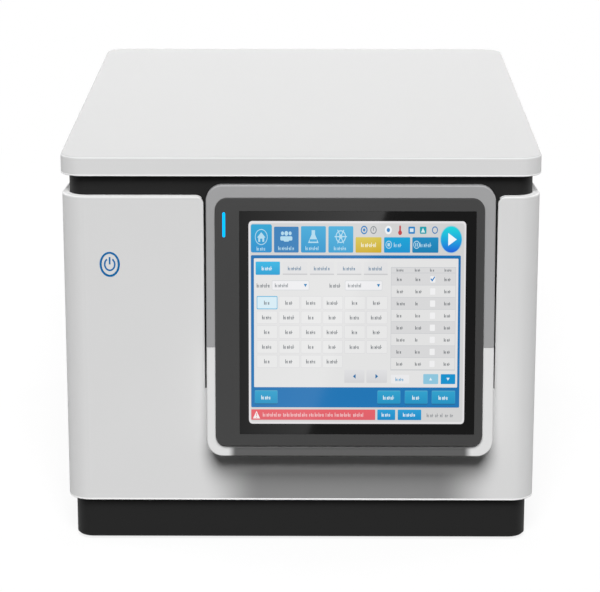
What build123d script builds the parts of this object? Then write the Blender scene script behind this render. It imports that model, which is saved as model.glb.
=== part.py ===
"""Benchtop chemistry analyzer, built as an assembly of separate pieces.

Millimetres, +Z up, the screen side faces -Y and +X is on the right seen from there.
The origin is on the bench, below the middle of the whole instrument.
"""

import os
from math import acos, atan2, cos, degrees, hypot, radians, sin, sqrt, tan

from build123d import *

# ---------------------------------------------------------------- overall sizes
lid_overhang = 9.0
lid_depth = 700.0
lid_edge = 22.0
lid_radius = 25.0
foot_height = 4.0
plinth_height = 48.0
cover_height = 357.0
band_height = 22.5
lid_gap = 0.3

# the inner case carries the covers and shows as the dark band and plinth
case_width = 518.0
case_depth = 663.0
lid_width = case_width + 2 * lid_overhang
case_inset = 9.0
case_radius = 20.0
seat_gap = 0.3
shaft_play = 0.05

# ---------------------------------------------------------------- screen pod
pod_radius = 18.0
pod_tilt = 6.0
pod_reach = 38.4
pod_x = 55.5
pod_drop = 139.0
pod_wall = 3.0
pod_split = -29.0
pod_gap = 2.8
slit_height = 134.0

glass_width = 262.6
glass_height = 252.2
glass_x = 7.8
glass_z = -0.9
glass_thickness = 2.5
glass_drop = 0.3
bezel_thickness = 5.0
bezel_chamfer = 0.9
bezel_top_radius = 14.0
bezel_low_radius = 12.0
bezel_left = 27.35
bezel_right = 9.55
bezel_above = 14.65
bezel_below = 13.45
rim_left = 9.95
rim_right = 12.15
rim_above = 13.9
rim_below = 13.3
display_side_margin = 8.3
display_end_margin = 9.1
display_thickness = 10.0
status_width = 3.3
status_length = 28.0
status_inset = 17.2
status_drop = 15.2

# the bezel is laid out round the glass, and the pod round the bezel
bezel_width = glass_width + bezel_left + bezel_right
bezel_height = glass_height + bezel_above + bezel_below
bezel_x = glass_x + (bezel_right - bezel_left) / 2
bezel_z = glass_z + (bezel_above - bezel_below) / 2
pod_width = bezel_width + rim_left + rim_right
pod_height = bezel_height + rim_above + rim_below
display_width = glass_width - 2 * display_side_margin
display_height = glass_height - 2 * display_end_margin
status_x = glass_x - glass_width / 2 - status_inset
status_z = glass_z + glass_height / 2 - status_drop

# ---------------------------------------------------------------- power button
power_inset = 45.5
power_drop = 77.8
power_ring_width = 22.7
power_ring_height = 28.8
power_stroke = 2.1
power_play = 0.3
power_travel = 2.5
stem_radius = 3.0
stem_hole = 6.0

# ---------------------------------------------------------------- levels and frame
plinth_z = foot_height
cover_z = plinth_z + plinth_height
cover_top = cover_z + cover_height
case_top = cover_top + band_height
lid_z = case_top + lid_gap
lid_top = lid_z + lid_edge

front_y = (pod_reach - lid_depth) / 2
rear_y = front_y + lid_depth
case_front = front_y + case_inset
case_rear = case_front + case_depth
case_y = (case_front + case_rear) / 2
case_side = case_width / 2
pod_z = cover_top - pod_drop
power_x = -case_side + power_inset
power_z = cover_top - power_drop

pod_low_front = -bezel_height / 2 + bezel_z + bezel_chamfer
pod_lean = bezel_thickness * cos(radians(pod_tilt)) - pod_low_front * sin(radians(pod_tilt))
pod_y = front_y - pod_reach + pod_lean
pod_normal = (0, -cos(radians(pod_tilt)), sin(radians(pod_tilt)))
pod_origin = (pod_x, pod_y, pod_z)


def pod_plane(height=0.0):
    """The tilted plane of the pod's front, moved out of it by height."""
    return Plane(origin=pod_origin, x_dir=(1, 0, 0), z_dir=pod_normal).offset(height)


def side_plane(x=0.0, y=0.0):
    """An upright plane through x, y that reads as radius and height for turned pieces."""
    return Plane(origin=(x, y, 0), x_dir=(1, 0, 0), z_dir=(0, -1, 0))


def upright(x, y):
    """The vertical axis through x, y."""
    return Axis((x, y, 0), (0, 0, 1))


def at_height(z, x=0.0, y=0.0):
    """A level plane at height z with its origin at x, y."""
    return Plane(origin=(x, y, z))


def facing_rear(y, x=0.0, z=0.0):
    """An upright plane at depth y that faces the back, with its x to the left."""
    return Plane(origin=(x, y, z), x_dir=(-1, 0, 0), z_dir=(0, 1, 0))


def case_outline(inset=0.0, mode=Mode.ADD):
    """The case's plan with its rounded corners, drawn in by inset all round."""
    return RectangleRounded(case_width - 2 * inset, case_depth - 2 * inset, case_radius - inset, mode=mode)


pieces = {}

# ================================================================ outer case
# ---------------------------------------------------------------- plinth and feet
plinth_wall = 4.0
plinth_bevel = 2.0
foot_radius = 19.0
foot_taper = 3.0
foot_pocket = 1.5
foot_inset = 54.0
foot_x = case_side - foot_inset
foot_y = 270.0

with BuildPart() as base_plinth:
    with BuildSketch(at_height(plinth_z, 0, case_y)):
        case_outline()
    extrude(amount=plinth_height)
    with BuildSketch(at_height(plinth_z + plinth_wall, 0, case_y)):
        case_outline(plinth_wall)
    extrude(amount=plinth_height, mode=Mode.SUBTRACT)
    chamfer(base_plinth.edges().group_by(Axis.Z)[0], plinth_bevel)
    with BuildSketch(at_height(plinth_z, 0, case_y)):
        with GridLocations(2 * foot_x, 2 * foot_y, 2, 2):
            Circle(foot_radius + seat_gap)
    extrude(amount=foot_pocket, mode=Mode.SUBTRACT)
pieces["base_plinth"] = base_plinth

with BuildPart() as rubber_feet:
    with BuildSketch(at_height(0, 0, case_y)):
        with GridLocations(2 * foot_x, 2 * foot_y, 2, 2):
            Circle(foot_radius - foot_taper)
    foot_length = foot_height + foot_pocket
    extrude(amount=foot_length, taper=-degrees(atan2(foot_taper, foot_length)))
pieces["rubber_feet"] = rubber_feet

# ---------------------------------------------------------------- inner steel frame
frame_wall = 2.0
collar_overlap = 9.0
frame_top = cover_top - collar_overlap
frame_height = frame_top - cover_z
cable_window = (150.0, 90.0)
side_window_depth = 250.0
side_window_post = 40.0
side_window_height = 230.0
side_window_low = 75.0
rear_window = (440.0, 300.0)
rear_window_z = 225.0
side_window_z = side_window_low + side_window_height / 2
cable_sides = (pod_x - cable_window[0] / 2, pod_x + cable_window[0] / 2)

with BuildPart() as chassis_frame:
    with BuildSketch(at_height(cover_z, 0, case_y)):
        case_outline()
        case_outline(frame_wall, Mode.SUBTRACT)
    extrude(amount=frame_height)
    with BuildSketch(Plane(origin=(pod_x, case_front, pod_z), x_dir=(1, 0, 0), z_dir=(0, -1, 0))):
        Rectangle(*cable_window)
    extrude(amount=3 * frame_wall, both=True, mode=Mode.SUBTRACT)
    with BuildSketch(Plane.XZ.offset(-case_front)):
        with Locations((power_x, power_z)):
            Circle(stem_hole)
    extrude(amount=3 * frame_wall, both=True, mode=Mode.SUBTRACT)
    with BuildSketch(Plane(origin=(0, case_y, side_window_z), x_dir=(0, 1, 0), z_dir=(1, 0, 0))):
        with GridLocations(side_window_depth + side_window_post, 0, 2, 1):
            Rectangle(side_window_depth, side_window_height)
    extrude(amount=case_width, both=True, mode=Mode.SUBTRACT)
    with BuildSketch(facing_rear(case_rear, 0, rear_window_z)):
        Rectangle(*rear_window)
    extrude(amount=3 * frame_wall, both=True, mode=Mode.SUBTRACT)
    # flat strips are welded edge to edge and to four rounded corner posts
    for weld_x in (-case_side + case_radius, case_side - case_radius, *cable_sides):
        split(bisect_by=Plane.YZ.offset(weld_x), keep=Keep.BOTH)
    for weld_y in (case_front + case_radius, case_rear - case_radius):
        split(bisect_by=Plane.XZ.offset(-weld_y), keep=Keep.BOTH)
    for weld_z in (side_window_low, side_window_low + side_window_height):
        split(bisect_by=Plane.XY.offset(weld_z), keep=Keep.BOTH)
pieces["chassis_frame"] = chassis_frame

# ---------------------------------------------------------------- dark collar under the lid
collar_wall = 3.0
collar_flange = 13.0
collar_flange_height = 3.0
collar_edge = 0.8

with BuildPart() as chassis_collar:
    with BuildSketch(at_height(frame_top, 0, case_y)):
        case_outline()
        case_outline(collar_wall, Mode.SUBTRACT)
    extrude(amount=case_top - frame_top)
    with BuildSketch(at_height(case_top - collar_flange_height, 0, case_y)):
        case_outline(collar_wall / 2)
        case_outline(collar_flange, Mode.SUBTRACT)
    extrude(amount=collar_flange_height)
    chamfer(chassis_collar.faces().sort_by(Axis.Z)[-1].outer_wire().edges(), collar_edge)
pieces["chassis_collar"] = chassis_collar

# ---------------------------------------------------------------- moulded front cover
cover_wall = 3.0
cover_flare = 10.0
cover_lap = 2.0
cover_nose = case_width + 2 * cover_flare
cover_tail = case_width + 2 * cover_lap
wing_depth = 110.0
cover_radius = 26.0
cover_ledge = 3.0
cover_edge = 1.0
panel_radius = 9.0
cradle_blend = 2.4
cradle_edge = 1.6
window_side_gap = 6.2
window_end_gap = 1.9
window_round = 6.0
window_width = glass_width + 2 * window_side_gap
window_height = glass_height + 2 * window_end_gap
pod_depth = 70.0
slit_z = cover_z + slit_height
slot_width = pod_width + 2 * pod_gap


def cover_plan(inset=0.0):
    """Corners of the cover's plan: a flat nose, and sides that draw in to the rear."""
    nose = cover_nose / 2 - inset
    tail = cover_tail / 2 - inset
    return [
        (-tail, front_y + wing_depth),
        (-nose, front_y + inset),
        (nose, front_y + inset),
        (tail, front_y + wing_depth),
    ]


def nose_corners(sketch):
    """The two plan corners at the front of a cover sketch."""
    return sketch.vertices().group_by(Axis.Y)[0]


def on_outer_rim(edge):
    """True on the outer edge of the cover's top and bottom."""
    middle = edge.center()
    level = min(abs(middle.Z - cover_z), abs(middle.Z - cover_top)) < 0.01
    nose = abs(middle.Y - front_y) < 0.01
    shoulder = abs(middle.X) > case_side + 1 and middle.Y < front_y + wing_depth - 1
    corner = abs(hypot(abs(middle.X) - cover_nose / 2, middle.Y - front_y)) < cover_radius / 2
    return level and (nose or (shoulder and edge.length > cover_radius) or corner)


def on_slot_edge(edge):
    """True on the front edge of the slot's two sides and of the panels' rounded corners."""
    middle = edge.center()
    side = abs(abs(middle.X - pod_x) - slot_width / 2) < panel_radius
    return abs(middle.Y - front_y) < 0.01 and middle.Z > slit_z + 1 and side and middle.Z < cover_top - 0.1


def on_seam(edge):
    """True where the cradle's outside meets the cover's front face."""
    middle = edge.center()
    near = abs(middle.X - pod_x) < pod_width / 2 + 0.01 and cover_z + cover_edge < middle.Z < slit_z
    return abs(middle.Y - front_y) < 0.01 and near


def on_pod_rim(edge):
    """True on the outer edge of the pod's upper front face."""
    middle = pod_plane().to_local_coords(edge.center())
    out = abs(middle.X) > pod_width / 2 - pod_radius or middle.Y > pod_height / 2 - pod_radius
    return abs(middle.Z) < 0.01 and out and middle.Y > pod_split + 1


def on_cradle_rim(edge):
    """True on the outer edge of the cradle's tilted front face."""
    middle = pod_plane().to_local_coords(edge.center())
    out = abs(middle.X) > pod_width / 2 - pod_radius or middle.Y < -pod_height / 2 + pod_radius
    return abs(middle.Z) < 0.01 and out and middle.Y < pod_split - 1


with BuildPart() as front_cover:
    with BuildSketch(Plane.XY.offset(cover_z)) as cover_outer:
        with BuildLine():
            Polyline(*cover_plan(), close=True)
        make_face()
        fillet(nose_corners(cover_outer), cover_radius)
    extrude(amount=cover_height)
    with BuildSketch(Plane.XY.offset(cover_z + cover_ledge)) as cover_inner:
        with BuildLine():
            Polyline(*cover_plan(cover_wall), close=True)
        make_face()
        fillet(nose_corners(cover_inner), cover_radius - cover_wall)
    extrude(amount=cover_height - 2 * cover_ledge, mode=Mode.SUBTRACT)
    with BuildSketch(at_height(cover_z, 0, case_y)):
        case_outline(-seat_gap)
    extrude(amount=cover_height, mode=Mode.SUBTRACT)
    # the slot for the pod's upper part, open at the top with rounded panel corners
    with BuildSketch(Plane.XZ.offset(-front_y)) as slot:
        with Locations((pod_x, slit_z)):
            Rectangle(slot_width, cover_height, align=(Align.CENTER, Align.MIN))
        with Locations((pod_x, cover_top)):
            Rectangle(slot_width + 4 * panel_radius, cover_height, align=(Align.CENTER, Align.MIN))
        throat = slot.vertices().filter_by(lambda v: abs(v.Y - cover_top) < 0.01)
        fillet(throat.sort_by(lambda v: abs(v.X - pod_x))[:2], panel_radius)
    extrude(amount=case_inset, both=True, mode=Mode.SUBTRACT)
    outside = front_cover.edges().filter_by(on_outer_rim) + front_cover.edges().filter_by(on_slot_edge)
    fillet(outside, cover_edge)
    # the cradle stands out of the cover on the pod's tilted plane
    with BuildSketch(pod_plane()):
        RectangleRounded(pod_width, pod_height, pod_radius)
        with Locations((0, pod_split - seat_gap / 2)):
            Rectangle(pod_width, pod_height, align=(Align.CENTER, Align.MIN), mode=Mode.SUBTRACT)
    extrude(amount=-pod_depth)
    with BuildSketch(Plane.XZ.offset(-front_y - cover_wall)):
        with Locations((pod_x, pod_z + pod_split)):
            Rectangle(pod_width + pod_gap, pod_height, align=(Align.CENTER, Align.MAX))
    extrude(amount=-pod_depth, mode=Mode.SUBTRACT)
    seam = front_cover.edges().filter_by(on_seam)
    fillet(seam, cradle_blend)
    # the pod's hollow, and the window behind the screen
    with BuildSketch(pod_plane(-pod_wall)):
        RectangleRounded(pod_width - 2 * pod_wall, pod_height - 2 * pod_wall, pod_radius - pod_wall)
    extrude(amount=-pod_depth, mode=Mode.SUBTRACT)
    with BuildSketch(pod_plane()):
        RectangleRounded(window_width, window_height, window_round)
    extrude(amount=-pod_wall, mode=Mode.SUBTRACT)
    rim = front_cover.edges().filter_by(on_cradle_rim)
    fillet(rim, cradle_edge)
    with BuildSketch(Plane.XZ.offset(-front_y)):
        with Locations((power_x, power_z)):
            Ellipse(power_ring_width / 2 + shaft_play, power_ring_height / 2 + shaft_play)
    extrude(amount=-cover_wall, mode=Mode.SUBTRACT)
pieces["front_cover"] = front_cover

# ---------------------------------------------------------------- side panels with louvres
panel_skin = 1.5
panel_gap = 2.0
panel_low = 2.0
louvre_count = 7
louvre_length = 90.0
louvre_width = 4.0
louvre_pitch = 13.0
louvre_y = 200.0
louvre_z = 150.0
panel_front = front_y + wing_depth + panel_gap
panel_rear = case_rear - case_radius
panel_length = panel_rear - panel_front
panel_height = cover_height - 2 * panel_low

for side_name, side_sign in (("side_panel_left", -1), ("side_panel_right", 1)):
    skin_x = side_sign * (case_side + seat_gap)
    with BuildPart() as side_panel:
        with BuildSketch(Plane(origin=(skin_x, 0, 0), x_dir=(0, side_sign, 0), z_dir=(side_sign, 0, 0))):
            with Locations((side_sign * (panel_front + panel_rear) / 2, cover_z + cover_height / 2)):
                RectangleRounded(panel_length, panel_height, panel_low)
            for bank_y in (-louvre_y, louvre_y / 2):
                with Locations((side_sign * (case_y - bank_y), louvre_z)):
                    with GridLocations(0, louvre_pitch, 1, louvre_count):
                        Rectangle(louvre_length, louvre_width, mode=Mode.SUBTRACT)
        extrude(amount=panel_skin)
    pieces[side_name] = side_panel

# ---------------------------------------------------------------- rear panel
rear_skin = 1.5
rear_side_margin = 24.0
rear_end_margin = 11.5
rear_width = case_width - 2 * rear_side_margin
rear_height = cover_height - 2 * rear_end_margin
rear_round = 8.0
fan_x = -140.0
fan_z = 190.0
fan_size = 92.0
fan_depth = 25.0
fan_bore = 43.0
fan_screw_pitch = 82.5
fan_screw_radius = 2.2
inlet_x = 150.0
inlet_z = 105.0
inlet_width = 28.0
inlet_height = 48.0
inlet_depth = 22.0
data_x = 150.0
data_z = 230.0
data_width = 70.0
data_height = 26.0
port_z = 105.0
port_pitch = 34.0
port_count = 4
port_x = 10.0
port_hole = 7.0
rear_face = case_rear + rear_skin
rear_mid = cover_z + cover_height / 2
screw_columns = 2
screw_rows = 3
screw_radius = 4.0
screw_height = 1.6
screw_taper = 20.0
screw_inset = 10.0
screw_span = rear_width - 2 * screw_inset
screw_pitch = (rear_height - 2 * screw_inset) / (screw_rows - 1)

with BuildPart() as rear_panel:
    with BuildSketch(facing_rear(case_rear)):
        with Locations((0, rear_mid)):
            RectangleRounded(rear_width, rear_height, rear_round)
        with Locations((-fan_x, fan_z)):
            Circle(fan_bore, mode=Mode.SUBTRACT)
        with Locations((-inlet_x, inlet_z)):
            Rectangle(inlet_width + 2 * shaft_play, inlet_height + 2 * shaft_play, mode=Mode.SUBTRACT)
        with Locations((-data_x, data_z)):
            Rectangle(data_width + 2 * shaft_play, data_height + 2 * shaft_play, mode=Mode.SUBTRACT)
        with Locations((-port_x, port_z)):
            with GridLocations(port_pitch, 0, port_count, 1):
                Circle(port_hole, mode=Mode.SUBTRACT)
    extrude(amount=rear_skin)
pieces["rear_panel"] = rear_panel

with BuildPart() as panel_screws:
    with BuildSketch(facing_rear(rear_face)):
        with Locations((0, rear_mid)):
            with GridLocations(screw_span, screw_pitch, screw_columns, screw_rows):
                Circle(screw_radius)
    extrude(amount=screw_height, taper=screw_taper)
pieces["panel_screws"] = panel_screws

# ================================================================ screen pod
pod_rear_y = case_front - seat_gap

with BuildPart() as pod_surround:
    with BuildSketch(pod_plane()):
        RectangleRounded(pod_width, pod_height, pod_radius)
        with Locations((0, pod_split + seat_gap / 2)):
            Rectangle(pod_width, pod_height, align=(Align.CENTER, Align.MAX), mode=Mode.SUBTRACT)
    extrude(amount=-pod_depth)
    fillet(pod_surround.edges().filter_by(on_pod_rim), cradle_edge)
    with BuildSketch(pod_plane(-pod_wall)):
        RectangleRounded(pod_width - 2 * pod_wall, pod_height - 2 * pod_wall, pod_radius - pod_wall)
    extrude(amount=-pod_depth, mode=Mode.SUBTRACT)
    with BuildSketch(pod_plane()):
        RectangleRounded(window_width, window_height, window_round)
    extrude(amount=-pod_wall, mode=Mode.SUBTRACT)
    split(bisect_by=Plane.XZ.offset(-pod_rear_y), keep=Keep.TOP)
pieces["pod_surround"] = pod_surround

glass_z_face = bezel_thickness - glass_drop
glass_seat = glass_z_face - glass_thickness
glass_play = 0.2
bezel_window_lip = 6.0
status_depth = 2.0

with BuildPart() as pod_bezel:
    with BuildSketch(pod_plane()) as outline:
        with Locations((bezel_x, bezel_z)):
            Rectangle(bezel_width, bezel_height)
        fillet(outline.vertices().group_by(Axis.Y)[-1], bezel_top_radius)
        fillet(outline.vertices().group_by(Axis.Y)[0], bezel_low_radius)
    extrude(amount=bezel_thickness)
    front_rim = pod_bezel.faces().sort_by(Axis(pod_origin, pod_normal))[-1].outer_wire().edges()
    chamfer(front_rim, bezel_chamfer)
    with BuildSketch(pod_plane(glass_seat)):
        with Locations((glass_x, glass_z)):
            Rectangle(glass_width + 2 * glass_play, glass_height + 2 * glass_play)
    extrude(amount=bezel_thickness, mode=Mode.SUBTRACT)
    with BuildSketch(pod_plane()):
        with Locations((glass_x, glass_z)):
            Rectangle(glass_width - 2 * bezel_window_lip, glass_height - 2 * bezel_window_lip)
    extrude(amount=bezel_thickness, mode=Mode.SUBTRACT)
    with BuildSketch(pod_plane(bezel_thickness - status_depth)):
        with Locations((status_x, status_z)):
            SlotOverall(status_length, status_width, rotation=90)
    extrude(amount=bezel_thickness, mode=Mode.SUBTRACT)
pieces["pod_bezel"] = pod_bezel

with BuildPart() as status_light:
    with BuildSketch(pod_plane(bezel_thickness - status_depth)):
        with Locations((status_x, status_z)):
            SlotOverall(status_length, status_width, rotation=90)
    extrude(amount=status_depth)
pieces["status_light"] = status_light

with BuildPart() as cover_glass:
    with BuildSketch(pod_plane(glass_seat)):
        with Locations((glass_x, glass_z)):
            RectangleRounded(glass_width, glass_height, glass_play)
    extrude(amount=glass_thickness)
pieces["cover_glass"] = cover_glass

with BuildPart() as display_panel:
    with BuildSketch(pod_plane(glass_seat)):
        with Locations((glass_x, glass_z)):
            Rectangle(display_width, display_height)
    extrude(amount=-display_thickness)
pieces["display_panel"] = display_panel

backplate_margin = 8.0
backplate_skin = 2.0
post_radius = 5.0
post_margin = 16.0
backplate_face = glass_seat - display_thickness
backplate_width = display_width + 2 * backplate_margin
backplate_height = display_height + 2 * backplate_margin

with BuildPart() as pod_backplate:
    with BuildSketch(Plane.XZ.offset(-case_front)):
        with Locations((pod_x + glass_x, pod_z + glass_z)):
            with GridLocations(backplate_width - 2 * post_margin, backplate_height - 2 * post_margin, 2, 2):
                Circle(post_radius)
    extrude(amount=pod_depth)
    split(bisect_by=pod_plane(backplate_face - backplate_skin / 2), keep=Keep.BOTTOM)
    with BuildSketch(pod_plane(backplate_face)):
        with Locations((glass_x, glass_z)):
            RectangleRounded(backplate_width, backplate_height, window_round)
    extrude(amount=-backplate_skin)
pieces["pod_backplate"] = pod_backplate

# ---------------------------------------------------------------- power button and its light ring
ring_proud = 0.2
ring_flange = 2.0
cap_thickness = 6.0
switch_size = 24.0
switch_depth = 10.0
stem_seat = 4.0
stem_spare = 1.0
switch_face = case_front + frame_wall
cap_width = power_ring_width - 2 * power_stroke - 2 * power_play
cap_height = power_ring_height - 2 * power_stroke - 2 * power_play

with BuildPart() as power_light_ring:
    with BuildSketch(Plane.XZ.offset(-front_y - cover_wall)):
        with Locations((power_x, power_z)):
            Ellipse(power_ring_width / 2, power_ring_height / 2)
    extrude(amount=cover_wall + ring_proud)
    with BuildSketch(Plane.XZ.offset(-front_y - cover_wall)):
        with Locations((power_x, power_z)):
            Ellipse(power_ring_width / 2 + ring_flange, power_ring_height / 2 + ring_flange)
    extrude(amount=-ring_flange)
    with BuildSketch(Plane.XZ.offset(-front_y - cover_wall)):
        with Locations((power_x, power_z)):
            Ellipse(power_ring_width / 2 - power_stroke, power_ring_height / 2 - power_stroke)
    extrude(amount=2 * cover_wall, both=True, mode=Mode.SUBTRACT)
pieces["power_light_ring"] = power_light_ring

with BuildPart() as power_button:
    with BuildSketch(Plane.XZ.offset(-front_y)):
        with Locations((power_x, power_z)):
            Ellipse(cap_width / 2, cap_height / 2)
    extrude(amount=-cap_thickness)
    with BuildSketch(Plane.XZ.offset(-front_y - cap_thickness)):
        with Locations((power_x, power_z)):
            Circle(stem_radius)
    extrude(amount=-(switch_face + stem_seat - front_y - cap_thickness))
pieces["power_button"] = power_button

with BuildPart() as power_switch:
    with BuildSketch(Plane.XZ.offset(-switch_face)):
        with Locations((power_x, power_z)):
            RectangleRounded(switch_size, switch_size, stem_radius)
    extrude(amount=-switch_depth)
    with BuildSketch(Plane.XZ.offset(-switch_face)):
        with Locations((power_x, power_z)):
            Circle(stem_radius + shaft_play)
    extrude(amount=-(stem_seat + power_travel + stem_spare), mode=Mode.SUBTRACT)
pieces["power_switch"] = power_switch

# ================================================================ lid and its hinges
lid_wall = 3.5
lid_top_round = 2.2
lid_low_round = 1.0
lid_y = (front_y + rear_y) / 2
liner_rise = 2.7
liner_skin = 2.0
liner_play = 0.2
bead_depth = 1.2
bead_width = 10.0
bead_count = 3
bead_margin = 70.0
bumper_radius = 5.0
bumper_y = 280.0
liner_z = lid_z + liner_rise

with BuildPart() as lid_shell:
    with BuildSketch(at_height(lid_z, 0, lid_y)):
        RectangleRounded(lid_width, lid_depth, lid_radius)
    extrude(amount=lid_edge)
    fillet(lid_shell.edges().group_by(Axis.Z)[-1], lid_top_round)
    fillet(lid_shell.edges().group_by(Axis.Z)[0], lid_low_round)
    with BuildSketch(at_height(lid_z, 0, lid_y)):
        RectangleRounded(lid_width - 2 * lid_wall, lid_depth - 2 * lid_wall, lid_radius - lid_wall)
    extrude(amount=lid_edge - lid_wall, mode=Mode.SUBTRACT)
pieces["lid_shell"] = lid_shell

liner_width = lid_width - 2 * lid_wall - 2 * liner_play
liner_depth = lid_depth - 2 * lid_wall - 2 * liner_play

with BuildPart() as lid_liner:
    with BuildSketch(at_height(liner_z, 0, lid_y)):
        RectangleRounded(liner_width, liner_depth, lid_radius - lid_wall - liner_play)
    extrude(amount=liner_skin)
    bead_pitch = (liner_width - bead_margin) / bead_count
    bead_across = bead_pitch - bead_width
    bead_along = liner_depth - 2 * bead_margin
    with BuildSketch(at_height(liner_z, 0, lid_y)):
        with GridLocations(bead_pitch, 0, bead_count, 1):
            RectangleRounded(bead_across, bead_along, bead_width)
            inner = (bead_across - 2 * bead_width, bead_along - 2 * bead_width)
            RectangleRounded(*inner, bead_width / 2, mode=Mode.SUBTRACT)
    extrude(amount=bead_depth, mode=Mode.SUBTRACT)
pieces["lid_liner"] = lid_liner

with BuildPart() as lid_bumpers:
    with BuildSketch(at_height(lid_z, 0, case_y)):
        with GridLocations(case_width - collar_flange, 2 * bumper_y, 2, 2):
            Circle(bumper_radius)
    extrude(amount=liner_rise)
pieces["lid_bumpers"] = lid_bumpers

hinge_inset = 89.0
hinge_x = case_side - hinge_inset
hinge_back = 10.0
hinge_drop = 7.5
hinge_radius = 5.0
hinge_pin_radius = 2.5
hinge_leaf = 2.5
hinge_middle = 20.0
hinge_end = 14.0
hinge_side_gap = 0.3
base_leaf_height = 18.0
lid_leaf_depth = 48.0
lid_leaf_lift = 0.2
hinge_y = case_rear + hinge_back
hinge_z = case_top - hinge_drop
hinge_length = hinge_middle + 2 * (hinge_side_gap + hinge_end)
lid_leaf_top = liner_z
lid_leaf_low = lid_z + lid_leaf_lift

with BuildPart() as hinge_base_leaves:
    for centre_x in (-hinge_x, hinge_x):
        with BuildSketch(Plane.YZ.offset(centre_x)):
            with Locations((case_rear, hinge_z - hinge_radius)):
                Rectangle(hinge_leaf, base_leaf_height, align=(Align.MIN, Align.MAX))
        extrude(amount=hinge_length / 2, both=True)
        with BuildSketch(Plane.YZ.offset(centre_x)):
            with Locations((case_rear, hinge_z - hinge_radius)):
                Rectangle(hinge_back, hinge_radius, align=(Align.MIN, Align.MIN))
            with Locations((hinge_y, hinge_z)):
                Circle(hinge_radius)
                Circle(hinge_pin_radius, mode=Mode.SUBTRACT)
        extrude(amount=hinge_middle / 2, both=True)
pieces["hinge_base_leaves"] = hinge_base_leaves

with BuildPart() as hinge_lid_leaves:
    for centre_x in (-hinge_x, hinge_x):
        with BuildSketch(Plane.YZ.offset(centre_x)):
            with Locations((hinge_y + hinge_pin_radius, lid_leaf_low)):
                Rectangle(lid_leaf_depth, lid_leaf_top - lid_leaf_low, align=(Align.MAX, Align.MIN))
        extrude(amount=hinge_length / 2, both=True)
        for knuckle_side in (-1, 1):
            knuckle_x = centre_x + knuckle_side * (hinge_middle / 2 + hinge_side_gap)
            with BuildSketch(Plane.YZ.offset(knuckle_x)):
                with Locations((hinge_y + hinge_pin_radius, hinge_z)):
                    Rectangle(2 * hinge_pin_radius, lid_leaf_low - hinge_z, align=(Align.MAX, Align.MIN))
                with Locations((hinge_y, hinge_z)):
                    Circle(hinge_radius)
                    Circle(hinge_pin_radius + shaft_play, mode=Mode.SUBTRACT)
            extrude(amount=knuckle_side * hinge_end)
pieces["hinge_lid_leaves"] = hinge_lid_leaves

with BuildPart() as hinge_pins:
    for centre_x in (-hinge_x, hinge_x):
        with BuildSketch(Plane.YZ.offset(centre_x)):
            with Locations((hinge_y, hinge_z)):
                Circle(hinge_pin_radius)
        extrude(amount=hinge_length / 2, both=True)
pieces["hinge_pins"] = hinge_pins

# ================================================================ work chamber
chamber_depth = 101.5
deck_wall = 2.5
deck_floor = 3.0
deck_margin = 6.0
deck_end_margin = 14.0
deck_radius = 14.0
deck_rim = 2.0
deck_rim_height = 2.5
deck_width = case_width - 2 * deck_margin
deck_depth = case_depth - 2 * deck_end_margin
deck_top = case_top - collar_flange_height
deck_z = case_top - chamber_depth

# the two discs, the probe between them and the mixer behind the reaction disc
reaction_back = 400.0
reaction_ring_radius = 92.0
reaction_tub_inner = 104.0
reaction_tub_depth = 30.0
reaction_side_gap = 2.5
sample_back = 395.0
sample_tub_depth = 58.0
sample_side_gap = 1.5
probe_lane = 31.0
tub_wall = 4.0
tub_rim = 2.0
tub_rim_height = 2.0
tub_floor = 3.0
tub_boss_radius = 14.0
tub_boss_height = 10.0
tub_hole_gap = 0.3
disc_shaft_radius = 6.0
motor_size = 42.0
motor_height = 40.0
motor_grip = 14.0
motor_round = 6.0
shaft_spare = 1.0

probe_back = 545.0
probe_past = 5.84
mixer_back = 540.0
mixer_side = 62.0
mixer_cell_offset = 11
cuvette_count = 48
arm_lift = 72.0
arm_height = 18.0
arm_seat = 10.0
guide_rise = 38.0
guide_drop = 30.0
guide_flange = 7.0
guide_flange_height = 4.0
guide_wall = 9.0
probe_shaft_radius = 8.0
mixer_shaft_radius = 6.0
shaft_drop = 38.0
drive_radius = 22.0
drive_height = 52.0
drive_wall = 4.0
tip_lift = 38.0
well_radius = 9.0
well_bore = 5.0
well_height = 30.0
well_floor = 4.0

# the reaction tub stands against the left wall, the sample tub against the right one,
# and the probe's lane runs between them
bottle_depth = 35.0
bottle_rim = 1.8
bottle_gap = 6.0
position_count = 10
position_half = radians(180.0 / position_count)
disc_edge_gap = 3.0
sample_ring_inset = 14.0
deck_inner = deck_width - 2 * deck_wall
reaction_outer = reaction_tub_inner + tub_wall + tub_rim
reaction_x = -deck_inner / 2 + reaction_side_gap + reaction_outer
reaction_y = front_y + reaction_back
sample_outer = (deck_inner - reaction_side_gap - sample_side_gap - probe_lane) / 2 - reaction_outer
sample_tub_inner = sample_outer - tub_wall - tub_rim
sample_disc_radius = sample_tub_inner - disc_edge_gap
bottle_corner_reach = sample_disc_radius - bottle_rim + bottle_gap / 2 * sin(position_half)
bottle_outer = bottle_corner_reach * cos(position_half)
bottle_inner = bottle_outer - bottle_depth
sample_ring_radius = bottle_inner - sample_ring_inset
sample_x = deck_inner / 2 - sample_side_gap - sample_outer
sample_y = front_y + sample_back
probe_x = sample_x - sample_outer - probe_lane / 2
probe_y = front_y + probe_back
mixer_x = reaction_x - mixer_side
mixer_y = front_y + mixer_back
probe_reach = hypot(sample_x - probe_x, sample_y - probe_y) - sample_ring_radius + probe_past

arm_z = deck_z + arm_lift
guide_top = deck_z + guide_rise
guide_low = deck_z - guide_drop
shaft_low = deck_z - shaft_drop
tip_clear_z = deck_z + tip_lift
well_top = deck_z + well_height


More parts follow.
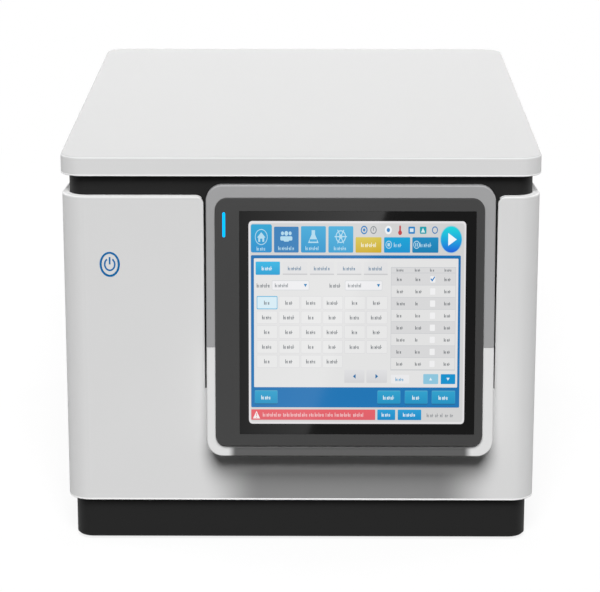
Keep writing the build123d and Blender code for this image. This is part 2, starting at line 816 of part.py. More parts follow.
def crossing(column, reach, centre, ring, side):
    """The angle at the column, in degrees, at which an arm of that reach stands over the ring."""
    span = hypot(centre[0] - column[0], centre[1] - column[1])
    line = degrees(atan2(centre[1] - column[1], centre[0] - column[0]))
    turn = degrees(acos((span**2 + reach**2 - ring**2) / (2 * span * reach)))
    return line + side * turn


def swung(column, reach, angle):
    """The point at an arm's end when the arm stands at that angle."""
    return (column[0] + reach * cos(radians(angle)), column[1] + reach * sin(radians(angle)))


def angle_from(centre, point):
    """The direction of a point seen from a centre, in degrees."""
    return degrees(atan2(point[1] - centre[1], point[0] - centre[0]))


probe_at = (probe_x, probe_y)
mixer_at = (mixer_x, mixer_y)
reaction_at = (reaction_x, reaction_y)
sample_at = (sample_x, sample_y)
probe_park = -90.0
probe_to_reaction = crossing(probe_at, probe_reach, reaction_at, reaction_ring_radius, 1)
probe_to_sample = crossing(probe_at, probe_reach, sample_at, sample_ring_radius, -1)
reaction_dip = swung(probe_at, probe_reach, probe_to_reaction)
sample_dip = swung(probe_at, probe_reach, probe_to_sample)
reaction_start = angle_from(reaction_at, reaction_dip)
sample_start = angle_from(sample_at, sample_dip)
mixer_turn_on_ring = reaction_start + mixer_cell_offset * 360.0 / cuvette_count
mixer_dip = swung(reaction_at, reaction_ring_radius, mixer_turn_on_ring)
mixer_reach = hypot(mixer_dip[0] - mixer_x, mixer_dip[1] - mixer_y)
mixer_to_reaction = angle_from(mixer_at, mixer_dip)
mixer_park = 0.0
probe_well_at = swung(probe_at, probe_reach, probe_park)
mixer_well_at = swung(mixer_at, mixer_reach, mixer_park)

columns = (
    ("probe", probe_at, probe_shaft_radius, probe_well_at),
    ("mixer", mixer_at, mixer_shaft_radius, mixer_well_at),
)
tubs = (
    ("reaction", reaction_at, reaction_tub_inner, reaction_tub_depth),
    ("sample", sample_at, sample_tub_inner, sample_tub_depth),
)

with BuildPart() as work_deck:
    with BuildSketch(at_height(deck_z - deck_floor, 0, case_y)):
        RectangleRounded(deck_width, deck_depth, deck_radius)
    extrude(amount=deck_top - deck_z + deck_floor)
    with BuildSketch(at_height(deck_top, 0, case_y)):
        RectangleRounded(deck_width + 2 * deck_rim, deck_depth + 2 * deck_rim, deck_radius + deck_rim)
    extrude(amount=-deck_rim_height)
    with BuildSketch(at_height(deck_z, 0, case_y)):
        RectangleRounded(deck_width - 2 * deck_wall, deck_depth - 2 * deck_wall, deck_radius - deck_wall)
    extrude(amount=deck_top - deck_z, mode=Mode.SUBTRACT)
    with BuildSketch(at_height(deck_z)):
        for tub_name, tub_at, tub_inner, tub_depth in tubs:
            with Locations(tub_at):
                Circle(tub_inner + tub_wall + tub_hole_gap)
        for column_name, column_at, shaft_radius, well_at in columns:
            with Locations(column_at):
                Circle(shaft_radius + guide_wall + tub_hole_gap)
    extrude(amount=-deck_floor, mode=Mode.SUBTRACT)
pieces["work_deck"] = work_deck

for tub_name, tub_at, tub_inner, tub_depth in tubs:
    tub_low = deck_z - tub_depth
    bore = disc_shaft_radius + shaft_play
    with BuildPart() as tub:
        with BuildSketch(side_plane(*tub_at)):
            with BuildLine():
                Polyline(
                    (bore, tub_low),
                    (tub_inner + tub_wall, tub_low),
                    (tub_inner + tub_wall, deck_z),
                    (tub_inner + tub_wall + tub_rim, deck_z),
                    (tub_inner + tub_wall + tub_rim, deck_z + tub_rim_height),
                    (tub_inner, deck_z + tub_rim_height),
                    (tub_inner, tub_low + tub_floor),
                    (tub_boss_radius, tub_low + tub_floor),
                    (tub_boss_radius, tub_low + tub_boss_height),
                    (bore, tub_low + tub_boss_height),
                    close=True,
                )
            make_face()
        revolve(axis=upright(*tub_at))
    pieces[tub_name + "_tub"] = tub
    with BuildPart() as motor:
        with BuildSketch(at_height(tub_low, *tub_at)):
            RectangleRounded(motor_size, motor_size, motor_round)
        extrude(amount=-motor_height)
        with BuildSketch(at_height(tub_low, *tub_at)):
            Circle(bore)
        extrude(amount=-motor_grip - shaft_spare, mode=Mode.SUBTRACT)
    pieces[tub_name + "_motor"] = motor

# ---------------------------------------------------------------- reaction disc and cuvettes
disc_skin = 3.0
disc_lift = 8.0
rim_wall = 4.0
cuvette_tangent = 8.0
cuvette_radial = 9.0
cuvette_well = 4.0
cuvette_floor = 3.0
cuvette_rise = 20.0
cuvette_drop = 12.0
cuvette_flange = 3.0
cuvette_flange_width = 16.0
segment_cells = 6
segment_gap = 0.6
hub_radius = 18.0
hub_height = 8.0
relief_count = 8
relief_radius = 12.0
relief_ring_radius = 52.0
cuvette_inner = reaction_ring_radius - cuvette_flange_width / 2
disc_z = deck_z + disc_lift
cuvette_top = deck_z + cuvette_rise
cuvette_low = deck_z - cuvette_drop
cell_pitch = 360.0 / cuvette_count

with BuildPart() as reaction_disc:
    with BuildSketch(side_plane(*reaction_at)):
        with BuildLine():
            Polyline(
                (0, deck_z - reaction_tub_depth - motor_grip),
                (disc_shaft_radius, deck_z - reaction_tub_depth - motor_grip),
                (disc_shaft_radius, disc_z),
                (cuvette_inner + rim_wall / 2, disc_z),
                (cuvette_inner + rim_wall / 2, cuvette_top - cuvette_flange),
                (cuvette_inner - rim_wall / 2, cuvette_top - cuvette_flange),
                (cuvette_inner - rim_wall / 2, disc_z + disc_skin),
                (hub_radius, disc_z + disc_skin),
                (hub_radius, disc_z + disc_skin + hub_height),
                (0, disc_z + disc_skin + hub_height),
                close=True,
            )
        make_face()
    revolve(axis=upright(*reaction_at))
    with BuildSketch(at_height(disc_z, *reaction_at)):
        with PolarLocations(relief_ring_radius, relief_count):
            Circle(relief_radius)
    extrude(amount=disc_skin, mode=Mode.SUBTRACT)
pieces["reaction_disc"] = reaction_disc

with BuildPart() as cuvette_ring:
    with BuildSketch(at_height(cuvette_top, *reaction_at)):
        Circle(reaction_ring_radius + cuvette_flange_width / 2)
        Circle(cuvette_inner, mode=Mode.SUBTRACT)
    extrude(amount=-cuvette_flange)
    with BuildSketch(at_height(cuvette_low, *reaction_at)):
        with PolarLocations(reaction_ring_radius, cuvette_count, start_angle=reaction_start):
            Rectangle(cuvette_radial, cuvette_tangent)
    extrude(amount=cuvette_top - cuvette_flange - cuvette_low)
    with BuildSketch(at_height(cuvette_top, *reaction_at)):
        with PolarLocations(reaction_ring_radius, cuvette_count, start_angle=reaction_start):
            Rectangle(cuvette_well, cuvette_well)
    extrude(amount=cuvette_low + cuvette_floor - cuvette_top, mode=Mode.SUBTRACT)
    # the ring comes as separate segments, each lifted out with its few cells
    with BuildSketch(at_height(cuvette_top, *reaction_at)):
        for cell in range(0, cuvette_count, segment_cells):
            slit_turn = reaction_start + (cell - 0.5) * cell_pitch
            with PolarLocations(reaction_ring_radius, 1, start_angle=slit_turn):
                Rectangle(cuvette_flange_width + segment_gap, segment_gap)
    extrude(amount=-cuvette_flange, mode=Mode.SUBTRACT)
pieces["cuvette_ring"] = cuvette_ring

# ---------------------------------------------------------------- sample and reagent disc
carrier_drop = 46.0
tube_radius = 6.5
tube_gap = 0.2
tube_rise = 22.0
stopper_radius = 8.0
stopper_grip = 6.0
stopper_height = 14.0
bottle_rise = 18.0
bottle_corner = 3.5
neck_radius = 7.0
neck_height = 9.0
bottle_cap_radius = 10.0
bottle_cap_lift = 2.0
bottle_cap_rise = 32.0
bottle_ring = (bottle_inner + bottle_outer) / 2
handle_radius = 16.0
handle_height = 26.0
carrier_z = deck_z - carrier_drop
carrier_top = carrier_z + disc_skin
tube_top = deck_z + tube_rise
bottle_top = deck_z + bottle_rise
bottle_cap_top = deck_z + bottle_cap_rise
position_turns = [sample_start + 360.0 * step / position_count for step in range(position_count)]
bottle_slope = tan(position_half)


def radial_plane(centre, z, turn):
    """A level plane at a centre whose x points outwards at that turn, in degrees."""
    outward = (cos(radians(turn)), sin(radians(turn)), 0)
    return Plane(origin=(*centre, z), x_dir=outward, z_dir=(0, 0, 1))


def bottle_plan(grow=0.0):
    """Corners of a wedge-shaped bottle's plan, wider on the outside."""
    near_half = bottle_inner * bottle_slope - bottle_gap / 2 + grow
    far_half = bottle_outer * bottle_slope - bottle_gap / 2 + grow
    return [
        (bottle_inner - grow, -near_half),
        (bottle_outer + grow, -far_half),
        (bottle_outer + grow, far_half),
        (bottle_inner - grow, near_half),
    ]


with BuildPart() as sample_disc:
    with BuildSketch(side_plane(*sample_at)):
        with BuildLine():
            Polyline(
                (0, deck_z - sample_tub_depth - motor_grip),
                (disc_shaft_radius, deck_z - sample_tub_depth - motor_grip),
                (disc_shaft_radius, carrier_z),
                (sample_disc_radius, carrier_z),
                (sample_disc_radius, carrier_top),
                (handle_radius, carrier_top),
                (handle_radius, disc_z),
                (sample_disc_radius, disc_z),
                (sample_disc_radius, disc_z + disc_skin),
                (handle_radius, disc_z + disc_skin),
                (handle_radius, disc_z + handle_height),
                (0, disc_z + handle_height),
                close=True,
            )
        make_face()
    revolve(axis=upright(*sample_at))
    with BuildSketch(at_height(disc_z, *sample_at)):
        with PolarLocations(sample_ring_radius, position_count, start_angle=sample_start):
            Circle(tube_radius + tube_gap)
    for turn in position_turns:
        with BuildSketch(radial_plane(sample_at, disc_z, turn)):
            with BuildLine():
                Polyline(*bottle_plan(tube_gap), close=True)
            make_face()
    extrude(amount=disc_skin, mode=Mode.SUBTRACT)
pieces["sample_disc"] = sample_disc

with BuildPart() as reagent_bottles:
    for turn in position_turns:
        with BuildSketch(radial_plane(sample_at, carrier_top, turn)):
            with BuildLine():
                Polyline(*bottle_plan(), close=True)
            make_face()
    extrude(amount=bottle_top - carrier_top)
    chamfer(reagent_bottles.edges().filter_by(Axis.Z), bottle_corner)
    for turn in position_turns:
        with BuildSketch(radial_plane(sample_at, bottle_top, turn)):
            with Locations((bottle_ring, 0)):
                Circle(neck_radius)
    extrude(amount=neck_height)
pieces["reagent_bottles"] = reagent_bottles

with BuildPart() as bottle_caps:
    for turn in position_turns:
        with BuildSketch(radial_plane(sample_at, bottle_top + bottle_cap_lift, turn)):
            with Locations((bottle_ring, 0)):
                Circle(bottle_cap_radius)
    extrude(amount=bottle_cap_top - bottle_top - bottle_cap_lift)
    for turn in position_turns:
        with BuildSketch(radial_plane(sample_at, bottle_top + bottle_cap_lift, turn)):
            with Locations((bottle_ring, 0)):
                Circle(neck_radius + shaft_play)
    extrude(amount=neck_height - bottle_cap_lift, mode=Mode.SUBTRACT)
pieces["bottle_caps"] = bottle_caps

# the position under the probe stays free for the next tube
with BuildPart() as sample_tubes:
    for turn in position_turns[1:]:
        with BuildSketch(radial_plane(sample_at, carrier_top, turn)):
            with Locations((sample_ring_radius, 0)):
                Circle(tube_radius)
    extrude(amount=tube_top - carrier_top)
pieces["sample_tubes"] = sample_tubes

with BuildPart() as tube_stoppers:
    for turn in position_turns[1:]:
        with BuildSketch(radial_plane(sample_at, tube_top - stopper_grip, turn)):
            with Locations((sample_ring_radius, 0)):
                Circle(stopper_radius)
    extrude(amount=stopper_height)
    for turn in position_turns[1:]:
        with BuildSketch(radial_plane(sample_at, tube_top - stopper_grip, turn)):
            with Locations((sample_ring_radius, 0)):
                Circle(tube_radius + shaft_play)
    extrude(amount=stopper_grip, mode=Mode.SUBTRACT)
pieces["tube_stoppers"] = tube_stoppers

# ---------------------------------------------------------------- probe and mixer columns
arm_tip_radius = 9.0
arm_hub_wall = 9.0
arm_bevel = 2.5
needle_radius = 0.8
needle_collar_radius = 3.0
needle_collar = 8.0
needle_taper = 15.0
paddle_rod_radius = 1.0
paddle_journal_radius = 3.0
paddle_journal = 8.0
blade_width = 3.0
blade_thickness = 0.8
blade_height = 12.0
tip_radius_of = {"probe": arm_tip_radius, "mixer": arm_tip_radius - 2.0}

for column_name, column_at, shaft_radius, well_at in columns:
    bore = shaft_radius + shaft_play
    outer = shaft_radius + guide_wall
    with BuildPart() as guide:
        with BuildSketch(side_plane(*column_at)):
            with BuildLine():
                Polyline(
                    (bore, guide_low),
                    (outer, guide_low),
                    (outer, deck_z),
                    (outer + guide_flange, deck_z),
                    (outer + guide_flange, deck_z + guide_flange_height),
                    (outer, deck_z + guide_flange_height),
                    (outer, guide_top - arm_bevel),
                    (outer - arm_bevel, guide_top),
                    (bore, guide_top),
                    close=True,
                )
            make_face()
        revolve(axis=upright(*column_at))
    pieces[column_name + "_guide"] = guide

    with BuildPart() as drive:
        with BuildSketch(at_height(guide_low, *column_at)):
            Circle(drive_radius)
        extrude(amount=-drive_height)
        with BuildSketch(at_height(guide_low, *column_at)):
            Circle(shaft_radius + drive_wall / 2)
        extrude(amount=drive_wall - drive_height, mode=Mode.SUBTRACT)
    pieces[column_name + "_drive"] = drive

    with BuildPart() as shaft:
        with BuildSketch(at_height(shaft_low, *column_at)):
            Circle(shaft_radius)
        extrude(amount=arm_z + arm_seat - shaft_play - shaft_low)
    pieces[column_name + "_shaft"] = shaft

    with BuildPart() as arm:
        with BuildSketch(at_height(arm_z)):
            with Locations(column_at):
                Circle(shaft_radius + arm_hub_wall)
            with Locations(well_at):
                Circle(tip_radius_of[column_name])
            make_hull()
        extrude(amount=arm_height)
        chamfer(arm.edges().group_by(Axis.Z)[-1], arm_bevel)
        with BuildSketch(at_height(arm_z)):
            with Locations(column_at):
                Circle(bore)
        extrude(amount=arm_seat, mode=Mode.SUBTRACT)
        if column_name == "mixer":
            with BuildSketch(at_height(arm_z)):
                with Locations(well_at):
                    Circle(paddle_journal_radius + shaft_play)
            extrude(amount=paddle_journal + shaft_play, mode=Mode.SUBTRACT)
    pieces[column_name + "_arm"] = arm

    with BuildPart() as wash_well:
        with BuildSketch(at_height(deck_z)):
            with Locations(well_at):
                Circle(well_radius)
        extrude(amount=well_top - deck_z)
        with BuildSketch(at_height(deck_z + well_floor)):
            with Locations(well_at):
                Circle(well_bore)
        extrude(amount=well_top - deck_z, mode=Mode.SUBTRACT)
    pieces[column_name + "_wash_well"] = wash_well

with BuildPart() as probe_needle:
    with BuildSketch(at_height(arm_z)):
        with Locations(probe_well_at):
            Circle(needle_collar_radius)
    extrude(amount=-needle_collar, taper=needle_taper)
    with BuildSketch(at_height(arm_z - needle_collar / 2)):
        with Locations(probe_well_at):
            Circle(needle_radius)
    extrude(amount=tip_clear_z - arm_z + needle_collar / 2)
pieces["probe_needle"] = probe_needle

with BuildPart() as mixer_paddle:
    with BuildSketch(at_height(arm_z)):
        with Locations(mixer_well_at):
            Circle(paddle_journal_radius)
    extrude(amount=paddle_journal)
    with BuildSketch(at_height(arm_z)):
        with Locations(mixer_well_at):
            Circle(paddle_rod_radius)
    extrude(amount=tip_clear_z + blade_height / 2 - arm_z)
    with BuildSketch(at_height(tip_clear_z)):
        with Locations(mixer_well_at):
            Rectangle(blade_width, blade_thickness)
    extrude(amount=blade_height)
pieces["mixer_paddle"] = mixer_paddle

# ---------------------------------------------------------------- photometer
photometer_width = 70.0
photometer_depth = 38.0
photometer_height = 40.0
photometer_round = 5.0
photometer_gap = 4.0
lens_radius = 5.0
lens_depth = 2.0
lens_lift = 14.0
photometer_y = reaction_y - reaction_tub_inner - tub_wall - tub_rim - photometer_gap - photometer_depth / 2
lens_z = deck_z + lens_lift

with BuildPart() as photometer:
    with BuildSketch(at_height(deck_z, reaction_x, photometer_y)):
        RectangleRounded(photometer_width, photometer_depth, photometer_round)
    extrude(amount=photometer_height)
    chamfer(photometer.edges().group_by(Axis.Z)[-1], arm_bevel)
    with BuildSketch(facing_rear(photometer_y + photometer_depth / 2, reaction_x, lens_z)):
        Circle(lens_radius)
    extrude(amount=-lens_depth, mode=Mode.SUBTRACT)
pieces["photometer"] = photometer

# ================================================================ rear fittings
fan_corner = 6.0
fan_hub_radius = 18.0
spider_width = 7.0
spider_height = 3.0
spider_count = 4
fan_pin_radius = 2.5
blade_count = 7
blade_tip_gap = 2.5
blade_pitch = 32.0
blade_twist = 12.0
blade_skin = 1.8
blade_root = 12.0
blade_tip = 18.0
rotor_depth = 17.0
rotor_skin = 2.0


def fan_plane(depth=0.0):
    """A plane across the fan, that depth in front of the rear panel, facing the back."""
    return facing_rear(case_rear - depth, fan_x, fan_z)


with BuildPart() as fan_frame:
    with BuildSketch(fan_plane()):
        RectangleRounded(fan_size, fan_size, fan_corner)
        Circle(fan_bore, mode=Mode.SUBTRACT)
        with GridLocations(fan_screw_pitch, fan_screw_pitch, 2, 2):
            Circle(fan_screw_radius, mode=Mode.SUBTRACT)
    extrude(amount=-fan_depth)
    # the motor sits on four struts at the inner end
    with BuildSketch(fan_plane(fan_depth)):
        Circle(fan_hub_radius)
        with PolarLocations(fan_bore / 2, spider_count, start_angle=45):
            Rectangle(fan_bore + spider_height, spider_width)
    extrude(amount=spider_height)
    with BuildSketch(fan_plane(fan_depth - spider_height)):
        Circle(fan_pin_radius)
    extrude(amount=rotor_depth - 2 * rotor_skin)
pieces["fan_frame"] = fan_frame

rotor_start = fan_depth - spider_height - seat_gap
with BuildPart() as fan_rotor:
    with BuildSketch(fan_plane(rotor_start)):
        Circle(fan_hub_radius)
    extrude(amount=rotor_depth)
    for blade in range(blade_count):
        around = 360.0 * blade / blade_count
        span = Plane(
            origin=(fan_x, case_rear - rotor_start + rotor_depth / 2, fan_z),
            x_dir=(0, 1, 0),
            z_dir=(cos(radians(around)), 0, sin(radians(around))),
        )
        with BuildSketch(span.offset(fan_hub_radius - rotor_skin)):
            Rectangle(blade_root, blade_skin, rotation=blade_pitch + blade_twist)
        with BuildSketch(span.offset(fan_bore - blade_tip_gap)):
            Rectangle(blade_tip, blade_skin, rotation=blade_pitch)
        loft()
    with BuildSketch(fan_plane(rotor_start)):
        Circle(fan_pin_radius + shaft_play)
    extrude(amount=rotor_depth - rotor_skin, mode=Mode.SUBTRACT)
pieces["fan_rotor"] = fan_rotor

guard_wire = 2.0
guard_rings = 4
guard_pitch = 9.5
guard_first = 12.0
guard_height = 3.0
guard_tab_radius = 4.4
guard_tab = fan_screw_pitch / sqrt(2)

with BuildPart() as fan_guard:
    with BuildSketch(facing_rear(rear_face, fan_x, fan_z)):
        for ring in reversed(range(guard_rings)):
            Circle(guard_first + ring * guard_pitch + guard_wire / 2)
            Circle(guard_first + ring * guard_pitch - guard_wire / 2, mode=Mode.SUBTRACT)
        with PolarLocations((guard_first + guard_tab) / 2, 4, start_angle=45):
            Rectangle(guard_tab - guard_first, guard_wire)
        with PolarLocations(guard_tab, 4, start_angle=45):
            Circle(guard_tab_radius)
    extrude(amount=guard_height)
pieces["fan_guard"] = fan_guard

# ---------------------------------------------------------------- mains inlet with its rocker switch
inlet_flange = 2.5
inlet_flange_skin = 2.0
socket_width = 24.4
socket_height = 16.8
socket_chamfer = 3.0
socket_depth = 16.0
socket_drop = 11.0
blade_pin_width = 2.0
blade_pin_length = 13.0
blade_pin_height = 4.0
blade_pin_spread = 7.0
rocker_lift = 13.0
rocker_opening_width = 20.0
rocker_opening_height = 12.0
rocker_half = 9.3
rocker_height = 11.4
rocker_crown = 4.5
rocker_waist = 2.5
rocker_back = 1.0
rocker_sink = 3.0
rocker_tilt = 8.0
rocker_pin_radius = 1.2
rocker_pin_end = 1.8
socket_z = inlet_z - socket_drop
rocker_z = inlet_z + rocker_lift
inlet_face = rear_face + inlet_flange_skin
rocker_y = inlet_face - rocker_sink

with BuildPart() as mains_inlet:
    with BuildSketch(facing_rear(rear_face, inlet_x, inlet_z)):
        Rectangle(inlet_width, inlet_height)
    extrude(amount=-inlet_depth)
    with BuildSketch(facing_rear(rear_face, inlet_x, inlet_z)):
        RectangleRounded(inlet_width + 2 * inlet_flange, inlet_height + 2 * inlet_flange, inlet_flange)
    extrude(amount=inlet_flange_skin)
    with BuildSketch(facing_rear(inlet_face, inlet_x, socket_z)):
        socket = Rectangle(socket_width, socket_height)
        chamfer(socket.vertices().group_by(Axis.Y)[-1], socket_chamfer)
    extrude(amount=-socket_depth, mode=Mode.SUBTRACT)
    with BuildSketch(facing_rear(inlet_face, inlet_x, rocker_z)):
        Rectangle(rocker_opening_width, rocker_opening_height)
    extrude(amount=-rocker_half - rocker_sink, mode=Mode.SUBTRACT)
    with BuildSketch(at_height(rocker_z, inlet_x, rocker_y)):
        Circle(rocker_pin_radius + shaft_play)
    extrude(amount=rocker_opening_height / 2 + rocker_pin_end, both=True, mode=Mode.SUBTRACT)
pieces["mains_inlet"] = mains_inlet

with BuildPart() as inlet_pins:
    with BuildSketch(facing_rear(inlet_face - socket_depth, inlet_x, socket_z)):
        with Locations((-blade_pin_spread, -blade_pin_width / 2), (blade_pin_spread, -blade_pin_width / 2)):
            Rectangle(blade_pin_width, blade_pin_height)
        with Locations((0, blade_pin_height / 2)):
            Rectangle(blade_pin_width, blade_pin_height)
    extrude(amount=blade_pin_length)
pieces["inlet_pins"] = inlet_pins

with BuildPart() as rocker_switch:
    rocker_along = (cos(radians(rocker_tilt)), -sin(radians(rocker_tilt)), 0)
    with BuildSketch(Plane(origin=(inlet_x, rocker_y, rocker_z), x_dir=rocker_along, z_dir=(0, 0, 1))):
        with BuildLine():
            Polyline(
                (-rocker_half, -rocker_back),
                (rocker_half, -rocker_back),
                (rocker_half, rocker_crown),
                (0, rocker_waist),
                (-rocker_half, rocker_crown),
                close=True,
            )
        make_face()
    extrude(amount=rocker_height / 2, both=True)
    with BuildSketch(at_height(rocker_z, inlet_x, rocker_y)):
        Circle(rocker_pin_radius)
    extrude(amount=rocker_opening_height / 2 + rocker_pin_end - seat_gap, both=True)
pieces["rocker_switch"] = rocker_switch

# ---------------------------------------------------------------- fluid and data ports
port_body = port_hole - shaft_play
port_inside = 8.0
port_flange = 10.0
port_flange_skin = 4.0
port_neck = 4.0
port_neck_length = 4.0
port_barb = 5.0
port_tip = 3.4
port_tip_length = 8.0

with BuildPart() as fluid_ports:
    for place in range(port_count):
        centre_x = port_x + (place - (port_count - 1) / 2) * port_pitch
        flange_y = rear_face + port_flange_skin
        barb_y = flange_y + port_neck_length
        tip_y = barb_y + port_tip_length
        with BuildSketch(at_height(port_z, centre_x, 0)):
            with BuildLine():
                Polyline(
                    (0, rear_face - port_inside),
                    (port_body, rear_face - port_inside),
                    (port_body, rear_face),
                    (port_flange, rear_face),
                    (port_flange, flange_y),
                    (port_neck, flange_y),
                    (port_neck, barb_y),
                    (port_barb, barb_y),
                    (port_tip, tip_y),
                    (0, tip_y),
                    close=True,
                )
            make_face()
        revolve(axis=Axis((centre_x, 0, port_z), (0, 1, 0)))
pieces["fluid_ports"] = fluid_ports

data_flange = 2.0
data_skin = 1.2
data_inside = 12.0
data_depth = 8.0
data_sockets = ((-22.0, 12.0, 11.0), (-3.0, 15.0, 12.0), (20.0, 18.0, 9.0))

with BuildPart() as data_ports:
    with BuildSketch(facing_rear(rear_face, data_x, data_z)):
        Rectangle(data_width, data_height)
    extrude(amount=-data_inside)
    with BuildSketch(facing_rear(rear_face, data_x, data_z)):
        RectangleRounded(data_width + 2 * data_flange, data_height + 2 * data_flange, data_flange)
    extrude(amount=data_skin)
    with BuildSketch(facing_rear(rear_face + data_skin, data_x, data_z)):
        for socket_x, socket_w, socket_h in data_sockets:
            with Locations((socket_x, 0)):
                Rectangle(socket_w, socket_h)
    extrude(amount=-data_depth, mode=Mode.SUBTRACT)
pieces["data_ports"] = data_ports

# ================================================================ units on the plinth floor
floor_z = plinth_z + plinth_wall
supply_size = (130.0, 220.0, 62.0)
supply_side = 99.0
supply_back = 160.0
supply_slot = 60.0
supply_slot_width = 4.0
supply_slot_pitch = 10.0
supply_slots = 6
supply_slot_depth = 2.0
board_size = (240.0, 200.0)
board_skin = 1.6
board_lift = 12.0
board_side = 169.0
board_back = 170.0
board_post = 4.0
board_margin = 10.0
chip_height = 5.0
chips = (
    (-70.0, 40.0, 36.0, 36.0),
    (10.0, 50.0, 50.0, 24.0),
    (60.0, -40.0, 44.0, 60.0),
    (-50.0, -50.0, 60.0, 30.0),
)
pump_size = (110.0, 90.0, 130.0)
pump_side = 99.0
pump_front = 110.0
pump_round = 4.0
barrel_radius = 9.0
barrel_length = 80.0
barrel_pitch = 50.0
barrel_drop = 70.0
supply_at = (case_side - supply_side, case_rear - supply_back)
board_at = (-case_side + board_side, case_rear - board_back)
pump_at = (-case_side + pump_side, case_front + pump_front)

with BuildPart() as power_supply:
    with BuildSketch(at_height(floor_z, *supply_at)):
        Rectangle(supply_size[0], supply_size[1])
    extrude(amount=supply_size[2])
    with BuildSketch(at_height(floor_z + supply_size[2], *supply_at)):
        with GridLocations(0, supply_slot_pitch, 1, supply_slots):
            Rectangle(supply_slot, supply_slot_width)
    extrude(amount=-supply_slot_depth, mode=Mode.SUBTRACT)
pieces["power_supply"] = power_supply

with BuildPart() as control_board:
    with BuildSketch(at_height(floor_z, *board_at)):
        with GridLocations(board_size[0] - 2 * board_margin, board_size[1] - 2 * board_margin, 2, 2):
            Circle(board_post)
    extrude(amount=board_lift)
    with BuildSketch(at_height(floor_z + board_lift, *board_at)):
        Rectangle(*board_size)
    extrude(amount=board_skin)
    with BuildSketch(at_height(floor_z + board_lift + board_skin, *board_at)):
        for chip_x, chip_y, chip_w, chip_d in chips:
            with Locations((chip_x, chip_y)):
                Rectangle(chip_w, chip_d)
    extrude(amount=chip_height)
pieces["control_board"] = control_board

with BuildPart() as fluid_pump:
    with BuildSketch(at_height(floor_z, *pump_at)):
        RectangleRounded(pump_size[0], pump_size[1], pump_round)
    extrude(amount=pump_size[2])
    with BuildSketch(at_height(floor_z + pump_size[2] - barrel_drop, *pump_at)):
        with Locations((0, -pump_size[1] / 2 - barrel_radius / 2)):
            with GridLocations(barrel_pitch, 0, 2, 1):
                Circle(barrel_radius)
    extrude(amount=barrel_length)
pieces["fluid_pump"] = fluid_pump

# ================================================================ write every piece
os.makedirs("parts", exist_ok=True)
for name, piece in pieces.items():
    piece.part.label = name
    export_step(piece.part, f"parts/{name}.step")

print("lid top", lid_top, "pod", pod_origin)
print("lid hinge axis", hinge_y, hinge_z)
print("probe column", probe_at, "well", probe_well_at)
print("probe turns", probe_to_reaction - probe_park, probe_to_sample - probe_park)
print("mixer column", mixer_at, "well", mixer_well_at, "turn", mixer_to_reaction - mixer_park)
print("rocker pivot", (inlet_x, rocker_y, rocker_z))
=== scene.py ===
import logging
import math
from dataclasses import dataclass, field
from enum import Enum
from typing import Mapping, Optional, Sequence, Union

import bmesh
import bpy
from mathutils import Matrix, Vector


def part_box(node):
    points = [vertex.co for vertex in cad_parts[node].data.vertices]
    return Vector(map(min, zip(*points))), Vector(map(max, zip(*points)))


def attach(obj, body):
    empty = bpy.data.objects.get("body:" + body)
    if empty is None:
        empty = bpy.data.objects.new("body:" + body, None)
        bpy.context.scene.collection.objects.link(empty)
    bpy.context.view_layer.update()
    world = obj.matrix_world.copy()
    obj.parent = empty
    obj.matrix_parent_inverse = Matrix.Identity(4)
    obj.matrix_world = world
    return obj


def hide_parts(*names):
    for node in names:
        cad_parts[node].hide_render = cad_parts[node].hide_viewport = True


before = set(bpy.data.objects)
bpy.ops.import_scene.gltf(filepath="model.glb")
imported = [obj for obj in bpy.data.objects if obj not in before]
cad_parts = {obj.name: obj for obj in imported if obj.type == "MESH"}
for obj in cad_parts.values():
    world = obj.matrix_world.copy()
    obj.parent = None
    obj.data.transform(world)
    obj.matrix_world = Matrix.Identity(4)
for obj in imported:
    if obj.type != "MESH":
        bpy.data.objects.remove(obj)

LOG = logging.getLogger("bench_analyzer")
MM = 0.001
WHITE = (1.0, 1.0, 1.0, 1.0)
BLACK = (0.0, 0.0, 0.0, 1.0)

# how far apart a surface's paler and darker patches lie, in millimetres
PATCH_MM = 60.0
BACKLIGHT_MM = 80.0
# scale of the mill lines along each axis: they lie flat and are drawn out 25 times along x and y
MILL_STRETCH = (0.04, 0.04, 1.0)
# what the wave texture's scale is divided by, so that one lathe ring is about twice grain_mm wide
RING_SHARE = 6.28
# how far the relief spreads the gloss, and the least roughness that is left
GLOSS_SPREAD = 0.05
LEAST_ROUGHNESS = 0.02
# the point of a turned form, in millimetres, so that its faces keep some width
LEAST_RADIUS = 0.01
# how far a print stands off the face that it is on, in millimetres
INK_LIFT = 0.05
# the largest angle between two faces that still shade as one, in degrees
SMOOTH_ANGLE = 35.0

Point = tuple[float, float, float]
Flat = tuple[float, float]
Box = tuple[float, float, float, float]
Linked = Union[float, int, str, tuple, bpy.types.NodeSocket]


def linear(code: str) -> tuple[float, float, float, float]:
    """Turns an sRGB hex colour into linear light.

    Args:
        code: Six hex digits, with or without a leading #.

    Returns:
        Red, green, blue and alpha, with alpha 1.
    """
    digits = code.lstrip("#")
    parts = [int(digits[i:i + 2], 16) / 255.0 for i in (0, 2, 4)]
    light = [v / 12.92 if v <= 0.04045 else ((v + 0.055) / 1.055) ** 2.4 for v in parts]
    return (light[0], light[1], light[2], 1.0)


def shaded(code: str, by: float) -> tuple[float, float, float, float]:
    """A hex colour in linear light, made lighter or darker.

    Args:
        code: Six hex digits.
        by: Share of its brightness to add, negative to darken.

    Returns:
        Red, green, blue and alpha.
    """
    red, green, blue, alpha = linear(code)
    return (red * (1 + by), green * (1 + by), blue * (1 + by), alpha)


